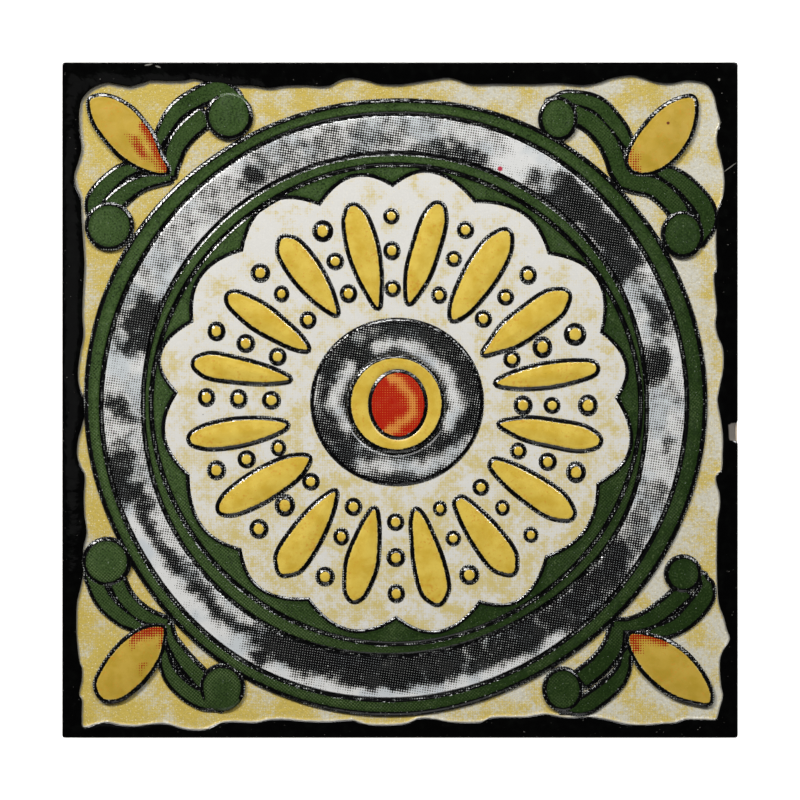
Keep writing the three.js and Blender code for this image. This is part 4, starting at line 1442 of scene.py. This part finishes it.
strandLines = [strandLine(strand) for strand in corners["strands"]]
scrollParts = []
for number, line in enumerate(strandLines):
    partners = [strandLines[k] for pair in corners["pairs"] if number in pair
                for k in pair if k != number]
    scrollParts.append(makeStrand(number, line, partners))
scrollParts += [makeBall(number, ball) for number, ball in enumerate(corners["balls"])]
scrollPiece = joinPieces("scrolls", scrollParts)
finishPiece(scrollPiece, greenGlaze)

budParts = [makeBud(name, outline) for name, outline in corners["buds"].items()]
budPiece = joinPieces("buds", budParts)
paintStrokes(budPiece, "redTone", corners["redStrokes"], corners["redSoftness"],
             planPlaces(budPiece, corners["redDrift"]))
finishPiece(budPiece, budGlaze)


# Floor, light and camera

stage = {
    "floorHalf": 1.5,
    "floorGlow": 1.0,
    "cameraHeight": 0.3362,  # metres above the floor, straight over the tile
    "lens": 100,
    "sensor": 36,
    "target": (0, 0, 0.008),  # what the lights point at
    "lights": [  # name, place, width and height, power in watts, tint
        ("keyLight", (-0.34, 0.36, 0.42), (0.15, 0.13), 2.55, (1, 0.985, 0.96)),
        ("topLight", (-0.06, 0.44, 0.44), (0.3, 0.06), 1.3, (1, 1, 1)),
        ("fillLight", (0.24, 0.26, 0.42), (0.28, 0.07), 0.9, (0.97, 0.985, 1)),
        ("frontLight", (0.05, -0.55, 0.3), (0.4, 0.4), 0.4, (1, 1, 1)),
        ("leftPanel", (-0.13, 0.03, 0.45), (0.16, 0.16), 0.008, (1, 1, 1)),
    ],
    "room": 0.02,
}


def makeFloor():
    bpy.ops.object.select_all(action="DESELECT")
    bpy.ops.mesh.primitive_plane_add(size=2 * stage["floorHalf"])
    floor = bpy.context.object
    floor.name = "floor"
    material = bpy.data.materials.new("paleFloor")
    material.use_nodes = True
    shader = material.node_tree.nodes["Principled BSDF"]
    shader.inputs["Base Color"].default_value = (0.9, 0.9, 0.9, 1)
    shader.inputs["Roughness"].default_value = 0.9
    shader.inputs["Emission Color"].default_value = (1, 1, 1, 1)
    shader.inputs["Emission Strength"].default_value = stage["floorGlow"]
    floor.data.materials.append(material)


def addLight(name, place, size, power, tint):
    bpy.ops.object.light_add(type="AREA", location=place)
    light = bpy.context.object
    light.name = name
    light.data.shape = "ELLIPSE"
    light.data.size, light.data.size_y = size
    light.data.energy = power
    light.data.color = tint
    toTarget = Vector(stage["target"]) - Vector(place)
    light.rotation_euler = toTarget.to_track_quat("-Z", "Y").to_euler()


makeFloor()
for light in stage["lights"]:
    addLight(*light)
room = bpy.data.worlds.new("room")
room.use_nodes = True
room.node_tree.nodes["Background"].inputs["Color"].default_value = (1, 1, 1, 1)
room.node_tree.nodes["Background"].inputs["Strength"].default_value = stage["room"]
bpy.context.scene.world = room
bpy.ops.object.camera_add(location=(0, 0, stage["cameraHeight"]))
camera = bpy.context.object
camera.data.lens = stage["lens"]
camera.data.sensor_width = stage["sensor"]
bpy.context.scene.camera = camera
bpy.context.scene.view_settings.view_transform = "Standard"
print("set the floor, lights and camera")
